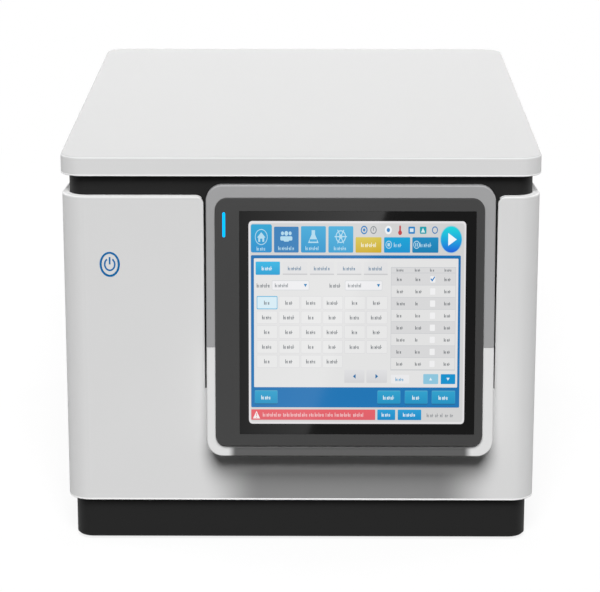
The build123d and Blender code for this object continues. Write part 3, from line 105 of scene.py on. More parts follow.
def add_node(
    tree: bpy.types.NodeTree,
    kind: str,
    inputs: Optional[dict[Union[str, int], Linked]] = None,
    **settings: object,
) -> bpy.types.Node:
    """Adds one node with its settings, its socket values and its links.

    Args:
        tree: The node tree it goes into.
        kind: Blender's name of the node type.
        inputs: A value or an output socket for each input, by name or place.
        **settings: Properties of the node itself.

    Returns:
        The new node.
    """
    node = tree.nodes.new(kind)
    for name, value in settings.items():
        setattr(node, name, value)
    for key, value in (inputs or {}).items():
        if isinstance(value, bpy.types.NodeSocket):
            tree.links.new(value, node.inputs[key])
        else:
            node.inputs[key].default_value = value
    return node


def bare_material(name: str) -> bpy.types.Material:
    """Makes a material whose node tree is empty.

    Args:
        name: The material's name.

    Returns:
        The material.
    """
    made = bpy.data.materials.new(name)
    made.use_nodes = True
    made.node_tree.nodes.clear()
    return made


# ---------------------------------------------------------------- finishes
class Grain(Enum):
    """How a surface was made, which sets the relief it shows."""

    POLISHED = "polished"
    MOULDED = "moulded"
    POWDERED = "powdered"
    BRUSHED = "brushed"
    TURNED = "turned"


@dataclass(frozen=True)
class Finish:
    """One real material and how its surface looks.

    Attributes:
        name: The material's common name and how it was made.
        colour: Its colour as sRGB hex.
        slot: The record's material slot meant for it; not used.
        roughness: Spread of its gloss.
        grain: How its surface was made.
        grain_mm: Distance between the grains in millimetres.
        depth_mm: Depth of the relief in millimetres.
        mottle: Share by which its brightness wanders.
        metallic: 1 for bare metal.
        ior: Index of refraction, left alone on metal.
        shine: Specular level, where 0.5 is what the index of refraction gives.
        coat: Strength of a clear layer on top.
        clear: Share of light that it lets through.
        glow: Colour that it gives off, or None.
    """

    name: str
    colour: str
    slot: str
    roughness: float = 0.45
    grain: Grain = Grain.MOULDED
    grain_mm: float = 1.6
    depth_mm: float = 0.03
    mottle: float = 0.02
    metallic: float = 0.0
    ior: float = 1.5
    shine: float = 0.5
    coat: float = 0.0
    clear: float = 0.0
    glow: Optional[str] = None

    def tint(self, tree: bpy.types.NodeTree, place: bpy.types.NodeSocket) -> bpy.types.NodeSocket:
        """Makes the colour, with the slow patches that a real surface has.

        Args:
            tree: The material's node tree.
            place: Socket with the position in metres.

        Returns:
            The socket that holds the colour.
        """
        # broad patches, as flow in the mould and handling leave them
        patches = add_node(
            tree, "ShaderNodeTexNoise", {"Vector": place, "Scale": 1.0 / (PATCH_MM * MM), "Detail": 3.0}
        )
        darker = shaded(self.colour, -self.mottle)
        paler = shaded(self.colour, self.mottle)
        blend = add_node(
            tree, "ShaderNodeMix", {0: patches.outputs["Fac"], 6: darker, 7: paler}, data_type="RGBA"
        )
        return blend.outputs[2]

    def relief(self, tree: bpy.types.NodeTree, place: bpy.types.NodeSocket) -> bpy.types.NodeSocket:
        """Makes the height of the fine surface pattern.

        Args:
            tree: The material's node tree.
            place: Socket with the position in metres.

        Returns:
            The socket that holds the height.
        """
        scale = 1.0 / (self.grain_mm * MM)
        if self.grain is Grain.BRUSHED:
            stretch = add_node(tree, "ShaderNodeMapping", {"Vector": place, "Scale": MILL_STRETCH})
            lines = add_node(
                tree, "ShaderNodeTexNoise", {"Vector": stretch.outputs[0], "Scale": scale, "Detail": 2.0}
            )
            return lines.outputs["Fac"]
        if self.grain is Grain.TURNED:
            rings = add_node(
                tree,
                "ShaderNodeTexWave",
                {"Vector": place, "Scale": scale / RING_SHARE, "Distortion": 0.4, "Detail": 1.0},
                wave_type="BANDS",
                bands_direction="Z",
            )
            return rings.outputs["Fac"]
        if self.grain is Grain.POWDERED:
            peel = add_node(
                tree, "ShaderNodeTexVoronoi", {"Vector": place, "Scale": scale}, feature="SMOOTH_F1"
            )
            return peel.outputs["Distance"]
        spark = add_node(
            tree,
            "ShaderNodeTexNoise",
            {"Vector": place, "Scale": scale, "Detail": 4.0, "Roughness": 0.6},
        )
        return spark.outputs["Fac"]

    def material(self) -> bpy.types.Material:
        """Makes the node material once and gives it back after that.

        Returns:
            The material.
        """
        known = bpy.data.materials.get(self.name)
        if known is not None:
            return known
        made = bare_material(self.name)
        tree = made.node_tree
        place = add_node(tree, "ShaderNodeTexCoord").outputs["Object"]
        height = self.relief(tree, place)
        # the relief also spreads the gloss a little, so highlights break up
        gloss = add_node(
            tree,
            "ShaderNodeMapRange",
            {
                "Value": height,
                "To Min": max(self.roughness - GLOSS_SPREAD, LEAST_ROUGHNESS),
                "To Max": self.roughness + GLOSS_SPREAD,
            },
        )
        bump = add_node(
            tree, "ShaderNodeBump", {"Height": height, "Strength": 1.0, "Distance": self.depth_mm * MM}
        )
        surface = add_node(
            tree,
            "ShaderNodeBsdfPrincipled",
            {
                "Base Color": self.tint(tree, place),
                "Metallic": self.metallic,
                "Roughness": gloss.outputs[0],
                "Normal": bump.outputs[0],
                "Specular IOR Level": self.shine,
                "Coat Weight": self.coat,
                "Transmission Weight": self.clear,
            },
        )
        if self.metallic == 0.0:
            surface.inputs["IOR"].default_value = self.ior
        if self.glow is not None:
            surface.inputs["Emission Color"].default_value = linear(self.glow)
            surface.inputs["Emission Strength"].default_value = 1.0
        add_node(tree, "ShaderNodeOutputMaterial", {"Surface": surface.outputs[0]})
        made.diffuse_color = linear(self.colour)
        return made


@dataclass(frozen=True)
class PaintedLightBand:
    """A stretch of height where a moulding is painted paler or darker, as painted highlight or painted
    shade.

    Attributes:
        low: Lower limit in millimetres.
        high: Upper limit in millimetres.
        lift: Share of brightness that it gains there, negative where it loses some.
    """

    low: float
    high: float
    lift: float


@dataclass(frozen=True)
class PaintedOverhangShade:
    """Painted shade: the soft shade under a piece above, painted into the surface's colour by the object's
    own axes.

    Attributes:
        middle: Its middle across in millimetres.
        half: Its half width.
        side_fade: Width over which its ends fade out.
        low: Its lower limit.
        high: Its upper limit.
        top_fade: Height over which its upper edge fades in.
        front: The depth that it lies in front of.
        depth: Share of brightness that it loses.
        low_fade: Height over which its lower edge fades out.
        front_fade: Depth over which it fades in from its front limit.
    """

    middle: float
    half: float
    side_fade: float
    low: float
    high: float
    top_fade: float
    front: float
    depth: float
    low_fade: float = 1.0
    front_fade: float = 0.5

    def share(self, tree: bpy.types.NodeTree, axes: bpy.types.Node) -> bpy.types.NodeSocket:
        """Makes the share of brightness lost at each place.

        Args:
            tree: The material's node tree.
            axes: The node that gives the place's three axes.

        Returns:
            The socket that holds the share.
        """
        offset = add_node(
            tree, "ShaderNodeMath", {0: axes.outputs["X"], 1: self.middle * MM}, operation="SUBTRACT"
        )
        aside = add_node(tree, "ShaderNodeMath", {0: offset.outputs[0]}, operation="ABSOLUTE")
        ramps = (
            (aside.outputs[0], self.half, self.half - self.side_fade),
            (axes.outputs["Z"], self.high, self.high - self.top_fade),
            (axes.outputs["Z"], self.low, self.low + self.low_fade),
            (axes.outputs["Y"], self.front, self.front - self.front_fade),
        )
        share: Union[float, bpy.types.NodeSocket] = self.depth
        for value, none, full in ramps:
            ramp = add_node(
                tree,
                "ShaderNodeMapRange",
                {"Value": value, "From Min": none * MM, "From Max": full * MM},
                interpolation_type="SMOOTHSTEP",
            )
            share = add_node(
                tree, "ShaderNodeMath", {0: ramp.outputs[0], 1: share}, operation="MULTIPLY"
            ).outputs[0]
        return share


@dataclass(frozen=True)
class PaintedLightFinish(Finish):
    """A moulding with bands of painted highlight and painted shade by height, and painted shade under what
    hangs over it.

    Attributes:
        bands: The stretches of height with painted highlight or painted shade.
        overhangs: The patches of painted shade.
    """

    bands: tuple[PaintedLightBand, ...] = ()
    overhangs: tuple[PaintedOverhangShade, ...] = ()

    def tint(self, tree: bpy.types.NodeTree, place: bpy.types.NodeSocket) -> bpy.types.NodeSocket:
        """Adds the patches of painted shade and the bands of painted highlight and painted shade to the
        plain colour.

        Args:
            tree: The material's node tree.
            place: Socket with the position in metres.

        Returns:
            The socket that holds the colour.
        """
        colour = Finish.tint(self, tree, place)
        axes = add_node(tree, "ShaderNodeSeparateXYZ", {0: place})
        height = axes.outputs["Z"]
        # painted shade under what hangs over the surface
        for overhang in self.overhangs:
            colour = add_node(
                tree,
                "ShaderNodeMix",
                {0: overhang.share(tree, axes), 6: colour, 7: BLACK},
                data_type="RGBA",
            ).outputs[2]
        # painted highlights and painted shade, band by band by height
        for band in self.bands:
            middle = (band.low + band.high) / 2 * MM
            half = (band.high - band.low) / 2 * MM
            inside = add_node(
                tree, "ShaderNodeMath", {0: height, 1: middle, 2: half}, operation="COMPARE"
            )
            colour = add_node(
                tree,
                "ShaderNodeMix",
                {0: inside.outputs[0], 6: colour, 7: shaded(self.colour, band.lift)},
                data_type="RGBA",
            ).outputs[2]
        return colour


# Acrylonitrile butadiene styrene, injection moulded with a fine spark texture: a soft even sheen
# without sharp reflections. The real grain is about 0.3 mm and is drawn coarser so that it shows.
# Its bands, from the top down: painted shade on the lid's flat top, a little darker; then painted
# highlights on the lid's lower lip, the cover's upper rim and the cover's foot, where their rounded
# edges catch the light. Its patches of painted shade, where the screen pod shades the cover: close
# under the screen pod, and down the cover's lower lip.
WHITE_ABS = PaintedLightFinish(
    "abs_white_moulded",
    "d9d9d9",
    "cover_white",
    roughness=0.5,
    grain_mm=1.4,
    depth_mm=0.02,
    mottle=0.012,
    # bands of painted shade and painted highlight by height
    bands=(
        PaintedLightBand(low=453.2, high=455.0, lift=-0.19),
        PaintedLightBand(low=431.0, high=433.8, lift=0.45),
        PaintedLightBand(low=407.0, high=409.4, lift=0.12),
        PaintedLightBand(low=52.0, high=54.4, lift=0.42),
    ),
    shine=0.15,
    # painted shade of the screen pod on the cover
    overhangs=(
        PaintedOverhangShade(
            middle=55.5, half=138.0, side_fade=10.0, low=108.0, high=130.0, top_fade=4.0,
            front=-331.0, depth=0.85,
        ),
        PaintedOverhangShade(
            middle=55.5, half=168.0, side_fade=68.0, low=40.0, high=98.0, top_fade=16.0,
            front=-315.0, depth=0.64,
        ),
    ),
)
# the same moulding in a mid grey
GREY_ABS = Finish(
    "abs_grey_moulded", "969697", "surround_grey", roughness=0.5, grain_mm=1.2, depth_mm=0.02
)
# glass-filled nylon with a coarse texture: nearly black, with a dull haze where light grazes it
BLACK_NYLON = Finish(
    "nylon_black_textured", "1d1d1d", "case_black", roughness=0.6, grain_mm=1.8, depth_mm=0.04, shine=0.12
)
# mild steel under black powder coat: small orange-peel dimples
BLACK_STEEL = Finish(
    "steel_black_powder_coated", "1c1c1d", "frame_steel", roughness=0.5, grain=Grain.POWDERED, grain_mm=2.2,
    shine=0.2,
)
# sheet steel under white powder coat: orange peel about 1 mm across, drawn at 2 mm
WHITE_STEEL = Finish(
    "steel_white_powder_coated",
    "d3d3d4",
    "panel_white",
    roughness=0.42,
    grain=Grain.POWDERED,
    grain_mm=2.0,
    depth_mm=0.05,
    mottle=0.015,
)
# nitrile rubber, pressed: fully matt and dark
RUBBER = Finish("rubber_nitrile_pressed", "1d1d1d", "foot_rubber", roughness=0.85, grain_mm=1.0, mottle=0.08)
# zinc-plated steel: a soft grey shine with faint clouds
ZINC = Finish(
    "steel_zinc_plated", "b9bbc0", "screw_steel", roughness=0.32, grain=Grain.BRUSHED, grain_mm=0.5,
    depth_mm=0.01, metallic=1.0, mottle=0.08,
)
# pressed steel leaves: lines from the rolling mill
HINGE_STEEL = Finish(
    "steel_rolled", "9a9ba0", "hinge_steel", roughness=0.36, grain=Grain.BRUSHED, grain_mm=0.7,
    depth_mm=0.02, metallic=1.0, mottle=0.06,
)
# polycarbonate, moulded in a polished tool and lightly blasted: dark with a broad soft sheen
BEZEL_PC = Finish(
    "polycarbonate_dark_satin", "353535", "bezel_black", roughness=0.42, grain_mm=1.2, depth_mm=0.01,
    ior=1.58, shine=0.3,
)
# soda-lime glass over black print: a mirror-smooth face that shows the room faintly
GLASS = Finish(
    "glass_black_printed", "151515", "screen_glass", roughness=0.03, grain=Grain.POLISHED, grain_mm=40.0,
    depth_mm=0.0, mottle=0.05, ior=1.52,
)
# the liquid crystal panel's own dark frame behind the glass
PANEL_FRAME = Finish("aluminium_dark_coated", "2b3038", "display_dark", roughness=0.4, grain_mm=1.2)
# cold-rolled sheet: bright, with long mill lines
PLATE_STEEL = Finish(
    "steel_cold_rolled", "a9abb0", "plate_steel", roughness=0.34, grain=Grain.BRUSHED, grain_mm=0.8,
    depth_mm=0.02, metallic=1.0, mottle=0.06,
)
# acrylic light guide, lit from behind: an even cyan glow under a glossy face
CYAN_GUIDE = Finish(
    "acrylic_cyan_lit", "0078b8", "light_blue", roughness=0.15, grain=Grain.POLISHED, grain_mm=8.0,
    depth_mm=0.0, ior=1.49, shine=0.2, glow="00b0f8",
)
# translucent blue acrylic ring, unlit
BLUE_GUIDE = Finish(
    "acrylic_blue_tinted", "0f6cab", "light_blue", roughness=0.25, grain=Grain.POLISHED, grain_mm=6.0,
    depth_mm=0.0, ior=1.49, shine=0.2,
)
# the key cap, moulded like the cover but smoother to the finger
KEY_CAP = Finish("abs_white_key_cap", "dcdcdc", "button_white", roughness=0.38, grain_mm=1.0, depth_mm=0.01)
# engineering plastic for switches, sockets and fans
BLACK_PLASTIC = Finish(
    "pbt_black_moulded", "202022", "part_black", roughness=0.45, grain_mm=1.2, depth_mm=0.02
)
# polystyrene sheet, vacuum formed: pale grey, a soft eggshell sheen
DECK_SHEET = Finish(
    "polystyrene_grey_formed", "c4c6ca", "deck_grey", roughness=0.5, grain_mm=2.0, depth_mm=0.04, mottle=0.02
)
# aluminium turned on a lathe: fine rings round the bore
TURNED_ALUMINIUM = Finish(
    "aluminium_turned", "c3c5c9", "tub_metal", roughness=0.28, grain=Grain.TURNED, grain_mm=1.2,
    depth_mm=0.015, metallic=1.0, mottle=0.04,
)
# aluminium, dark anodised: the metal's shine through a graphite dye
DARK_ANODISED = Finish(
    "aluminium_anodised_graphite", "5a5d63", "disc_metal", roughness=0.32, grain=Grain.BRUSHED, grain_mm=0.8,
    depth_mm=0.01, metallic=0.9, mottle=0.05,
)
# polypropylene carrier: milky and slightly waxy
CARRIER_PP = Finish(
    "polypropylene_white", "cfd4d8", "disc_plastic", roughness=0.4, grain_mm=1.4, depth_mm=0.02
)
# polymethyl methacrylate cells: clear with bright edges
CUVETTE_ACRYLIC = Finish(
    "acrylic_clear_cell", "d2e4ec", "cuvette_clear", roughness=0.08, grain=Grain.POLISHED, grain_mm=5.0,
    depth_mm=0.005, ior=1.49, clear=0.35,
)
# high-density polyethylene, blow moulded: cream white and waxy
BOTTLE_HDPE = Finish(
    "polyethylene_blow_moulded", "e0ded6", "bottle_white", roughness=0.42, grain_mm=2.4, mottle=0.03
)
# polypropylene screw cap
CAP_PP = Finish("polypropylene_blue_cap", "2f69a3", "cap_blue", roughness=0.35, grain_mm=1.0, depth_mm=0.015)
# borosilicate tube with serum in it
TUBE_GLASS = Finish(
    "borosilicate_tube", "dfe6e4", "tube_glass", roughness=0.06, grain=Grain.POLISHED, grain_mm=6.0,
    depth_mm=0.0, ior=1.47, clear=0.4,
)
# butyl stopper: matt and slightly dusty
STOPPER = Finish("butyl_rubber_red", "8a2c2c", "stopper_rubber", roughness=0.7, grain_mm=1.2, mottle=0.06)
# stepper can: pressed steel, satin
MOTOR_CAN = Finish(
    "steel_motor_can", "8b8c90", "motor_steel", roughness=0.4, grain=Grain.BRUSHED, grain_mm=0.9,
    depth_mm=0.02, metallic=1.0, mottle=0.06,
)
# hardened shaft, ground and polished
GROUND_STEEL = Finish(
    "steel_ground", "c9cbcf", "shaft_chrome", roughness=0.14, grain=Grain.TURNED, grain_mm=0.8,
    depth_mm=0.004, metallic=1.0, mottle=0.02,
)
# arm covers: smooth gloss ABS
ARM_ABS = Finish("abs_white_gloss", "dedede", "arm_white", roughness=0.3, grain_mm=2.0, depth_mm=0.01)
# guides: aluminium bar, turned
GUIDE_ALUMINIUM = Finish(
    "aluminium_turned_guide", "b6b8bc", "guide_metal", roughness=0.3, grain=Grain.TURNED, grain_mm=1.0,
    depth_mm=0.015, metallic=1.0, mottle=0.04,
)
# epoxy laminate with green resist over the copper
LAMINATE = Finish(
    "epoxy_glass_green", "1c6a3a", "board_green", roughness=0.3, grain_mm=1.6, mottle=0.12, coat=0.3
)
# power supply and pump housings
UNIT_GREY = Finish(
    "steel_grey_powder_coated", "86888c", "supply_grey", roughness=0.48, grain=Grain.POWDERED, grain_mm=2.0
)
# printed marks on mouldings: flat white ink
WHITE_INK = Finish("ink_white_printed", "e8e8e8", "part_black", roughness=0.6, grain_mm=1.0, depth_mm=0.0)
# the same ink in dark grey on pale mouldings
GREY_INK = Finish("ink_grey_printed", "5c6066", "disc_plastic", roughness=0.6, grain_mm=1.0, depth_mm=0.0)
# working reagent in the cells: straw yellow under a still surface
REAGENT = Finish(
    "reagent_straw", "d9c877", "cuvette_clear", roughness=0.05, grain=Grain.POLISHED, grain_mm=4.0,
    depth_mm=0.0, ior=1.34, clear=0.3,
)
# painted shade: a dark disc for the open end of a bore, where no light comes back
PAINTED_BORE_SHADE = Finish(
    "bore_shadow", "0c0c0c", "part_black", roughness=0.9, grain_mm=1.0, depth_mm=0.0, shine=0.1
)
# gold-flashed contacts
CONTACT_GOLD = Finish(
    "copper_gold_flashed", "c9a24a", "screw_steel", roughness=0.25, grain=Grain.BRUSHED, grain_mm=0.5,
    depth_mm=0.002, metallic=1.0,
)
# brass hose tails, nickel plated
NICKEL = Finish(
    "brass_nickel_plated", "bdbab2", "screw_steel", roughness=0.22, grain=Grain.TURNED, grain_mm=0.9,
    depth_mm=0.01, metallic=1.0, mottle=0.04,
)


# the unlit panel's own colour and gloss, how bright its whitest dot is, and how far it wanders
PANEL_BLACK = (0.004, 0.004, 0.004, 1.0)
PANEL_ROUGHNESS = 0.08
PANEL_IOR = 1.5
PANEL_GLOW = 0.97
PANEL_WANDER = 0.012


@dataclass(frozen=True)
class Lit:
    """A patch of the lit screen: a colour that the panel gives off under the smooth cover glass.

    Attributes:
        top: Colour at its upper edge as sRGB hex.
        low: Colour at its lower edge, or None for the same.
        y_top: Height of the upper edge on the screen in metres up the glass.
        y_low: Height of the lower edge.
    """

    top: str
    low: Optional[str] = None
    y_top: float = 0.0
    y_low: float = 0.0

    @property
    def name(self) -> str:
        """The material's name."""
        tail = "" if self.low is None else f"_{self.low}_{round(self.y_top * 1e4)}_{round(self.y_low * 1e4)}"
        return f"lcd_light_{self.top}{tail}"

    def material(self) -> bpy.types.Material:
        """Makes the glowing material once and gives it back after that.

        Returns:
            The material.
        """
        known = bpy.data.materials.get(self.name)
        if known is not None:
            return known
        made = bare_material(self.name)
        tree = made.node_tree
        place = add_node(tree, "ShaderNodeTexCoord").outputs["Object"]
        if self.low is None:
            # the backlight wanders by a percent or two from place to place
            clouds = add_node(
                tree,
                "ShaderNodeTexNoise",
                {"Vector": place, "Scale": 1.0 / (BACKLIGHT_MM * MM), "Detail": 1.0},
            )
            darker = shaded(self.top, -PANEL_WANDER)
            paler = shaded(self.top, PANEL_WANDER)
            colour = add_node(
                tree, "ShaderNodeMix", {0: clouds.outputs["Fac"], 6: darker, 7: paler}, data_type="RGBA"
            ).outputs[2]
        else:
            height = add_node(tree, "ShaderNodeSeparateXYZ", {0: place}).outputs["Z"]
            fall = add_node(
                tree,
                "ShaderNodeMapRange",
                {"Value": height, "From Min": self.y_low, "From Max": self.y_top},
            )
            colour = add_node(
                tree,
                "ShaderNodeMix",
                {0: fall.outputs[0], 6: linear(self.low), 7: linear(self.top)},
                data_type="RGBA",
            ).outputs[2]
        surface = add_node(
            tree,
            "ShaderNodeBsdfPrincipled",
            {
                "Base Color": PANEL_BLACK,
                "Roughness": PANEL_ROUGHNESS,
                "IOR": PANEL_IOR,
                "Emission Color": colour,
                "Emission Strength": PANEL_GLOW,
            },
        )
        add_node(tree, "ShaderNodeOutputMaterial", {"Surface": surface.outputs[0]})
        made.diffuse_color = linear(self.top)
        return made


Dress = Union[Finish, Lit]


# ---------------------------------------------------------------- shapes
def upright_frame(x: float, y: float, z: float, turn: float = 0.0) -> Matrix:
    """A frame at a point in millimetres with its z axis up, turned by an angle in radians."""
    return Matrix.Translation((x, y, z)) @ Matrix.Rotation(turn, 4, "Z")


def ring_frame(centre: Flat, radius: float, turn: float, z: float) -> Matrix:
    """An upright frame on a ring round a centre, with its x axis pointing away from it."""
    return upright_frame(centre[0] + radius * math.cos(turn), centre[1] + radius * math.sin(turn), z, turn)


def rear_frame(x: float, y: float, z: float) -> Matrix:
    """A frame whose z axis points out of the back, with x to the viewer's right there."""
    axes = Matrix(((-1, 0, 0), (0, 0, 1), (0, 1, 0))).to_4x4()
    return Matrix.Translation((x, y, z)) @ axes


def front_frame(x: float, y: float, z: float) -> Matrix:
    """A frame whose z axis points out of the front, with x to the viewer's right there."""
    axes = Matrix(((1, 0, 0), (0, 0, -1), (0, 1, 0))).to_4x4()
    return Matrix.Translation((x, y, z)) @ axes


def oblong(x0: float, y0: float, x1: float, y1: float) -> list[Flat]:
    """Outline of a rectangle with sharp corners, from its first corner along x."""
    return [(x0, y0), (x1, y0), (x1, y1), (x0, y1)]


def rounded(x0: float, y0: float, x1: float, y1: float, radius: float, steps: int = 5) -> list[Flat]:
    """Outline of a rectangle with round corners, anticlockwise.

    Args:
        x0: Left side.
        y0: Lower side.
        x1: Right side.
        y1: Upper side.
        radius: Corner radius.
        steps: Chords to a corner.

    Returns:
        The outline's points.
    """
    corners = (
        (x1 - radius, y1 - radius, 0),
        (x0 + radius, y1 - radius, 90),
        (x0 + radius, y0 + radius, 180),
        (x1 - radius, y0 + radius, 270),
    )
    outline: list[Flat] = []
    for centre_x, centre_y, start in corners:
        for step in range(steps + 1):
            turn = math.radians(start + 90.0 * step / steps)
            outline.append((centre_x + radius * math.cos(turn), centre_y + radius * math.sin(turn)))
    return outline


def circle(radius: float, steps: int = 32, x: float = 0.0, y: float = 0.0, start: float = 0.0) -> list[Flat]:
    """Outline of a circle, anticlockwise.

    Args:
        radius: Its radius.
        steps: Number of points.
        x: Centre across.
        y: Centre up.
        start: Angle of the first point in degrees.

    Returns:
        The outline's points.
    """
    turns = [math.radians(start + 360.0 * step / steps) for step in range(steps)]
    return [(x + radius * math.cos(turn), y + radius * math.sin(turn)) for turn in turns]


def upright_loop(x: float, y: float, z: float, radius: float, steps: int) -> list[Point]:
    """Points of a standing circle that faces the back, starting on its x side.

    Args:
        x: Centre across.
        y: Depth that it stands at.
        z: Centre up.
        radius: Its radius.
        steps: Number of points.

    Returns:
        The points.
    """
    turns = [math.tau * step / steps for step in range(steps)]
    return [(x + radius * math.cos(turn), y, z + radius * math.sin(turn)) for turn in turns]


class Shape:
    """Collects the faces of one piece, in millimetres, and turns them into an object."""

    def __init__(self, name: str) -> None:
        """Starts an empty piece.

        Args:
            name: The piece's name.
        """
        self.name = name
        self.mesh = bmesh.new()
        self.dresses: list[Dress] = []
        self.index = 0

    def dress(self, finish: Dress) -> "Shape":
        """Sets the finish of the faces that come next.

        Args:
            finish: Their finish.

        Returns:
            The shape itself.
        """
        if finish not in self.dresses:
            self.dresses.append(finish)
        self.index = self.dresses.index(finish)
        return self

    def ring(self, points: Sequence[Point], place: Matrix) -> list[bmesh.types.BMVert]:
        """Adds a loop of corners.

        Args:
            points: The corners in the frame of place.
            place: Where that frame stands.

        Returns:
            The new corners.
        """
        return [self.mesh.verts.new((place @ Vector(p)) * MM) for p in points]

    def face(self, corners: Sequence[bmesh.types.BMVert]) -> None:
        """Adds one face in the present finish."""
        self.mesh.faces.new(corners).material_index = self.index

    def loft(self, sections: Sequence[Sequence[Point]], place: Matrix, closed: bool = False) -> None:
        """Skins a row of loops that have the same number of corners.

        Args:
            sections: The loops, each anticlockwise seen from the far end.
            place: Frame of the loops.
            closed: Joins the last loop to the first, in place of a face over each end.
        """
        rings = [self.ring(section, place) for section in sections]
        pairs = list(zip(rings, rings[1:]))
        if closed:
            pairs.append((rings[-1], rings[0]))
        else:
            self.face(list(reversed(rings[0])))
            self.face(rings[-1])
        for low, high in pairs:
            for a in range(len(low)):
                b = (a + 1) % len(low)
                self.face((low[a], low[b], high[b], high[a]))

    def prism(
        self, outline: Sequence[Flat], low: float, high: float, place: Matrix, bevel: float = 0.0
    ) -> None:
        """A straight block over an outline, with its upper rim eased.

        Args:
            outline: Its plan, anticlockwise.
            low: Height of its foot.
            high: Height of its top.
            place: Frame of the outline.
            bevel: Width of the easing.
        """
        sections = [[(x, y, low) for x, y in outline], [(x, y, high - bevel) for x, y in outline]]
        if bevel > 0:
            mid_x = sum(p[0] for p in outline) / len(outline)
            mid_y = sum(p[1] for p in outline) / len(outline)
            reach = max(max(abs(p[0] - mid_x), abs(p[1] - mid_y)) for p in outline)
            drawn = 1.0 - bevel / reach
            eased = [(mid_x + (x - mid_x) * drawn, mid_y + (y - mid_y) * drawn) for x, y in outline]
            sections.append([(x, y, high) for x, y in eased])
        self.loft(sections, place)

    def lathe(self, profile: Sequence[Flat], place: Matrix, steps: int = 40) -> None:
        """Turns a profile of radius and height about the frame's z axis.

        Args:
            profile: Radius and height of each step, from the foot up.
            place: Frame of the axis.
            steps: Facets round it.
        """
        turns = [math.radians(360.0 * step / steps) for step in range(steps)]
        sections: list[list[Point]] = []
        for radius, height in profile:
            reach = max(radius, LEAST_RADIUS)
            sections.append([(reach * math.cos(turn), reach * math.sin(turn), height) for turn in turns])
        self.loft(sections, place)

    def tube(self, path: Sequence[Point], radius: float, steps: int = 10, closed: bool = False) -> None:
        """A round wire along a path.

        Args:
            path: Its middle line in millimetres.
            radius: Half its thickness.
            steps: Facets round it.
            closed: Joins its end to its start.
        """
        sections: list[list[Point]] = []
        count = len(path)
        side = Vector((0, 0, 1))
        for at in range(count):
            before = Vector(path[at - 1] if at > 0 or closed else path[0])
            after = Vector(path[(at + 1) % count] if at < count - 1 or closed else path[-1])
            along = (after - before).normalized()
            if abs(along.dot(side)) > 0.98:
                side = Vector((1, 0, 0))
            across = along.cross(side).normalized()
            lift = across.cross(along).normalized()
            ring = []
            for step in range(steps):
                turn = -math.radians(360.0 * step / steps)
                out = math.cos(turn) * across + math.sin(turn) * lift
                ring.append(tuple(Vector(path[at]) + radius * out))
            sections.append(ring)
        self.loft(sections, Matrix.Identity(4), closed=closed)

    def tile(self, outline: Sequence[Flat], height: float, place: Matrix) -> None:
        """A flat face over an outline at a height.

        Args:
            outline: Its plan, anticlockwise.
            height: Its height in the frame.
            place: Frame of the outline.
        """
        self.face(self.ring([(x, y, height) for x, y in outline], place))

    def ribbon(
        self, outer: Sequence[Flat], inner: Sequence[Flat], height: float, place: Matrix, closed: bool = True
    ) -> None:
        """Flat faces between two outlines that have the same number of corners.

        Args:
            outer: The outer outline, anticlockwise.
            inner: The inner outline.
            height: Their height in the frame.
            place: Frame of the outlines.
            closed: Joins the last corners to the first.
        """
        for a in range(len(outer) if closed else len(outer) - 1):
            b = (a + 1) % len(outer)
            self.tile((outer[a], outer[b], inner[b], inner[a]), height, place)

    def finish(self, body: str, *stands_for: str, tidy: bool = True) -> bpy.types.Object:
        """Makes the object, sets it on its body and reports it.

        Args:
            body: The CAD body that it moves with.
            *stands_for: CAD nodes that it replaces.
            tidy: Turns all faces outwards.

        Returns:
            The new object.
        """
        if tidy:
            bmesh.ops.recalc_face_normals(self.mesh, faces=self.mesh.faces)
        for face in self.mesh.faces:
            face.smooth = True
        for edge in self.mesh.edges:
            if len(edge.link_faces) == 2 and edge.calc_face_angle(0.0) > math.radians(SMOOTH_ANGLE):
                edge.smooth = False
        data = bpy.data.meshes.new(self.name)
        self.mesh.to_mesh(data)
        self.mesh.free()
        piece = bpy.data.objects.new(self.name, data)
        bpy.context.scene.collection.objects.link(piece)
        for finish in self.dresses:
            data.materials.append(finish.material())
        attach(piece, body)
        if stands_for:
            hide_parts(*stands_for)
        LOG.info("piece %s on %s: %d faces", piece.name, body, len(data.polygons))
        return piece


def coat_nodes(finishes: Mapping[str, Finish]) -> None:
    """Gives CAD nodes their finishes.

    Args:
        finishes: Each node's finish, by the node's name.
    """
    for node, finish in finishes.items():
        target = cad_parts[node]
        if not target.material_slots:
            target.data.materials.append(None)
        for place in target.material_slots:
            place.material = finish.material()
        LOG.info("node %s in %s", node, finish.name)


# a screw head in shares of its radius and height: the recess's arm and half width, the dome's
# steps, and the recess's floor
RECESS_ARM = 0.52
RECESS_HALF = 0.13
DOME_STEPS = ((1.0, 0.0), (1.0, 0.35), (0.93, 0.7), (0.76, 1.0))
RECESS_FLOOR = 0.85
RECESS_LEVEL = 0.25


def screw_head(shape: Shape, place: Matrix, radius: float, height: float) -> None:
    """A domed head with a cross recess.

    Args:
        shape: The piece that it joins.
        place: Frame with z out of the surface.
        radius: Radius of the head.
        height: Height of the head.
    """
    arm = radius * RECESS_ARM
    half = radius * RECESS_HALF
    cross = [
        (arm, -half), (arm, half), (half, half), (half, arm), (-half, arm), (-half, half),
        (-arm, half), (-arm, -half), (-half, -half), (-half, -arm), (half, -arm), (half, -half),
    ]
    outline: list[Flat] = []
    for at, corner in enumerate(cross):
        other = cross[(at + 1) % len(cross)]
        outline += [corner, ((corner[0] + other[0]) / 2, (corner[1] + other[1]) / 2)]
    turns = [math.atan2(y, x) for x, y in outline]
    rings: list[list[Point]] = []
    for share, level in DOME_STEPS:
        reach = radius * share
        rings.append([(reach * math.cos(turn), reach * math.sin(turn), height * level) for turn in turns])
    rings.append([(x, y, height) for x, y in outline])
    rings.append([(x * RECESS_FLOOR, y * RECESS_FLOOR, height * RECESS_LEVEL) for x, y in outline])
    shape.loft(rings, place)


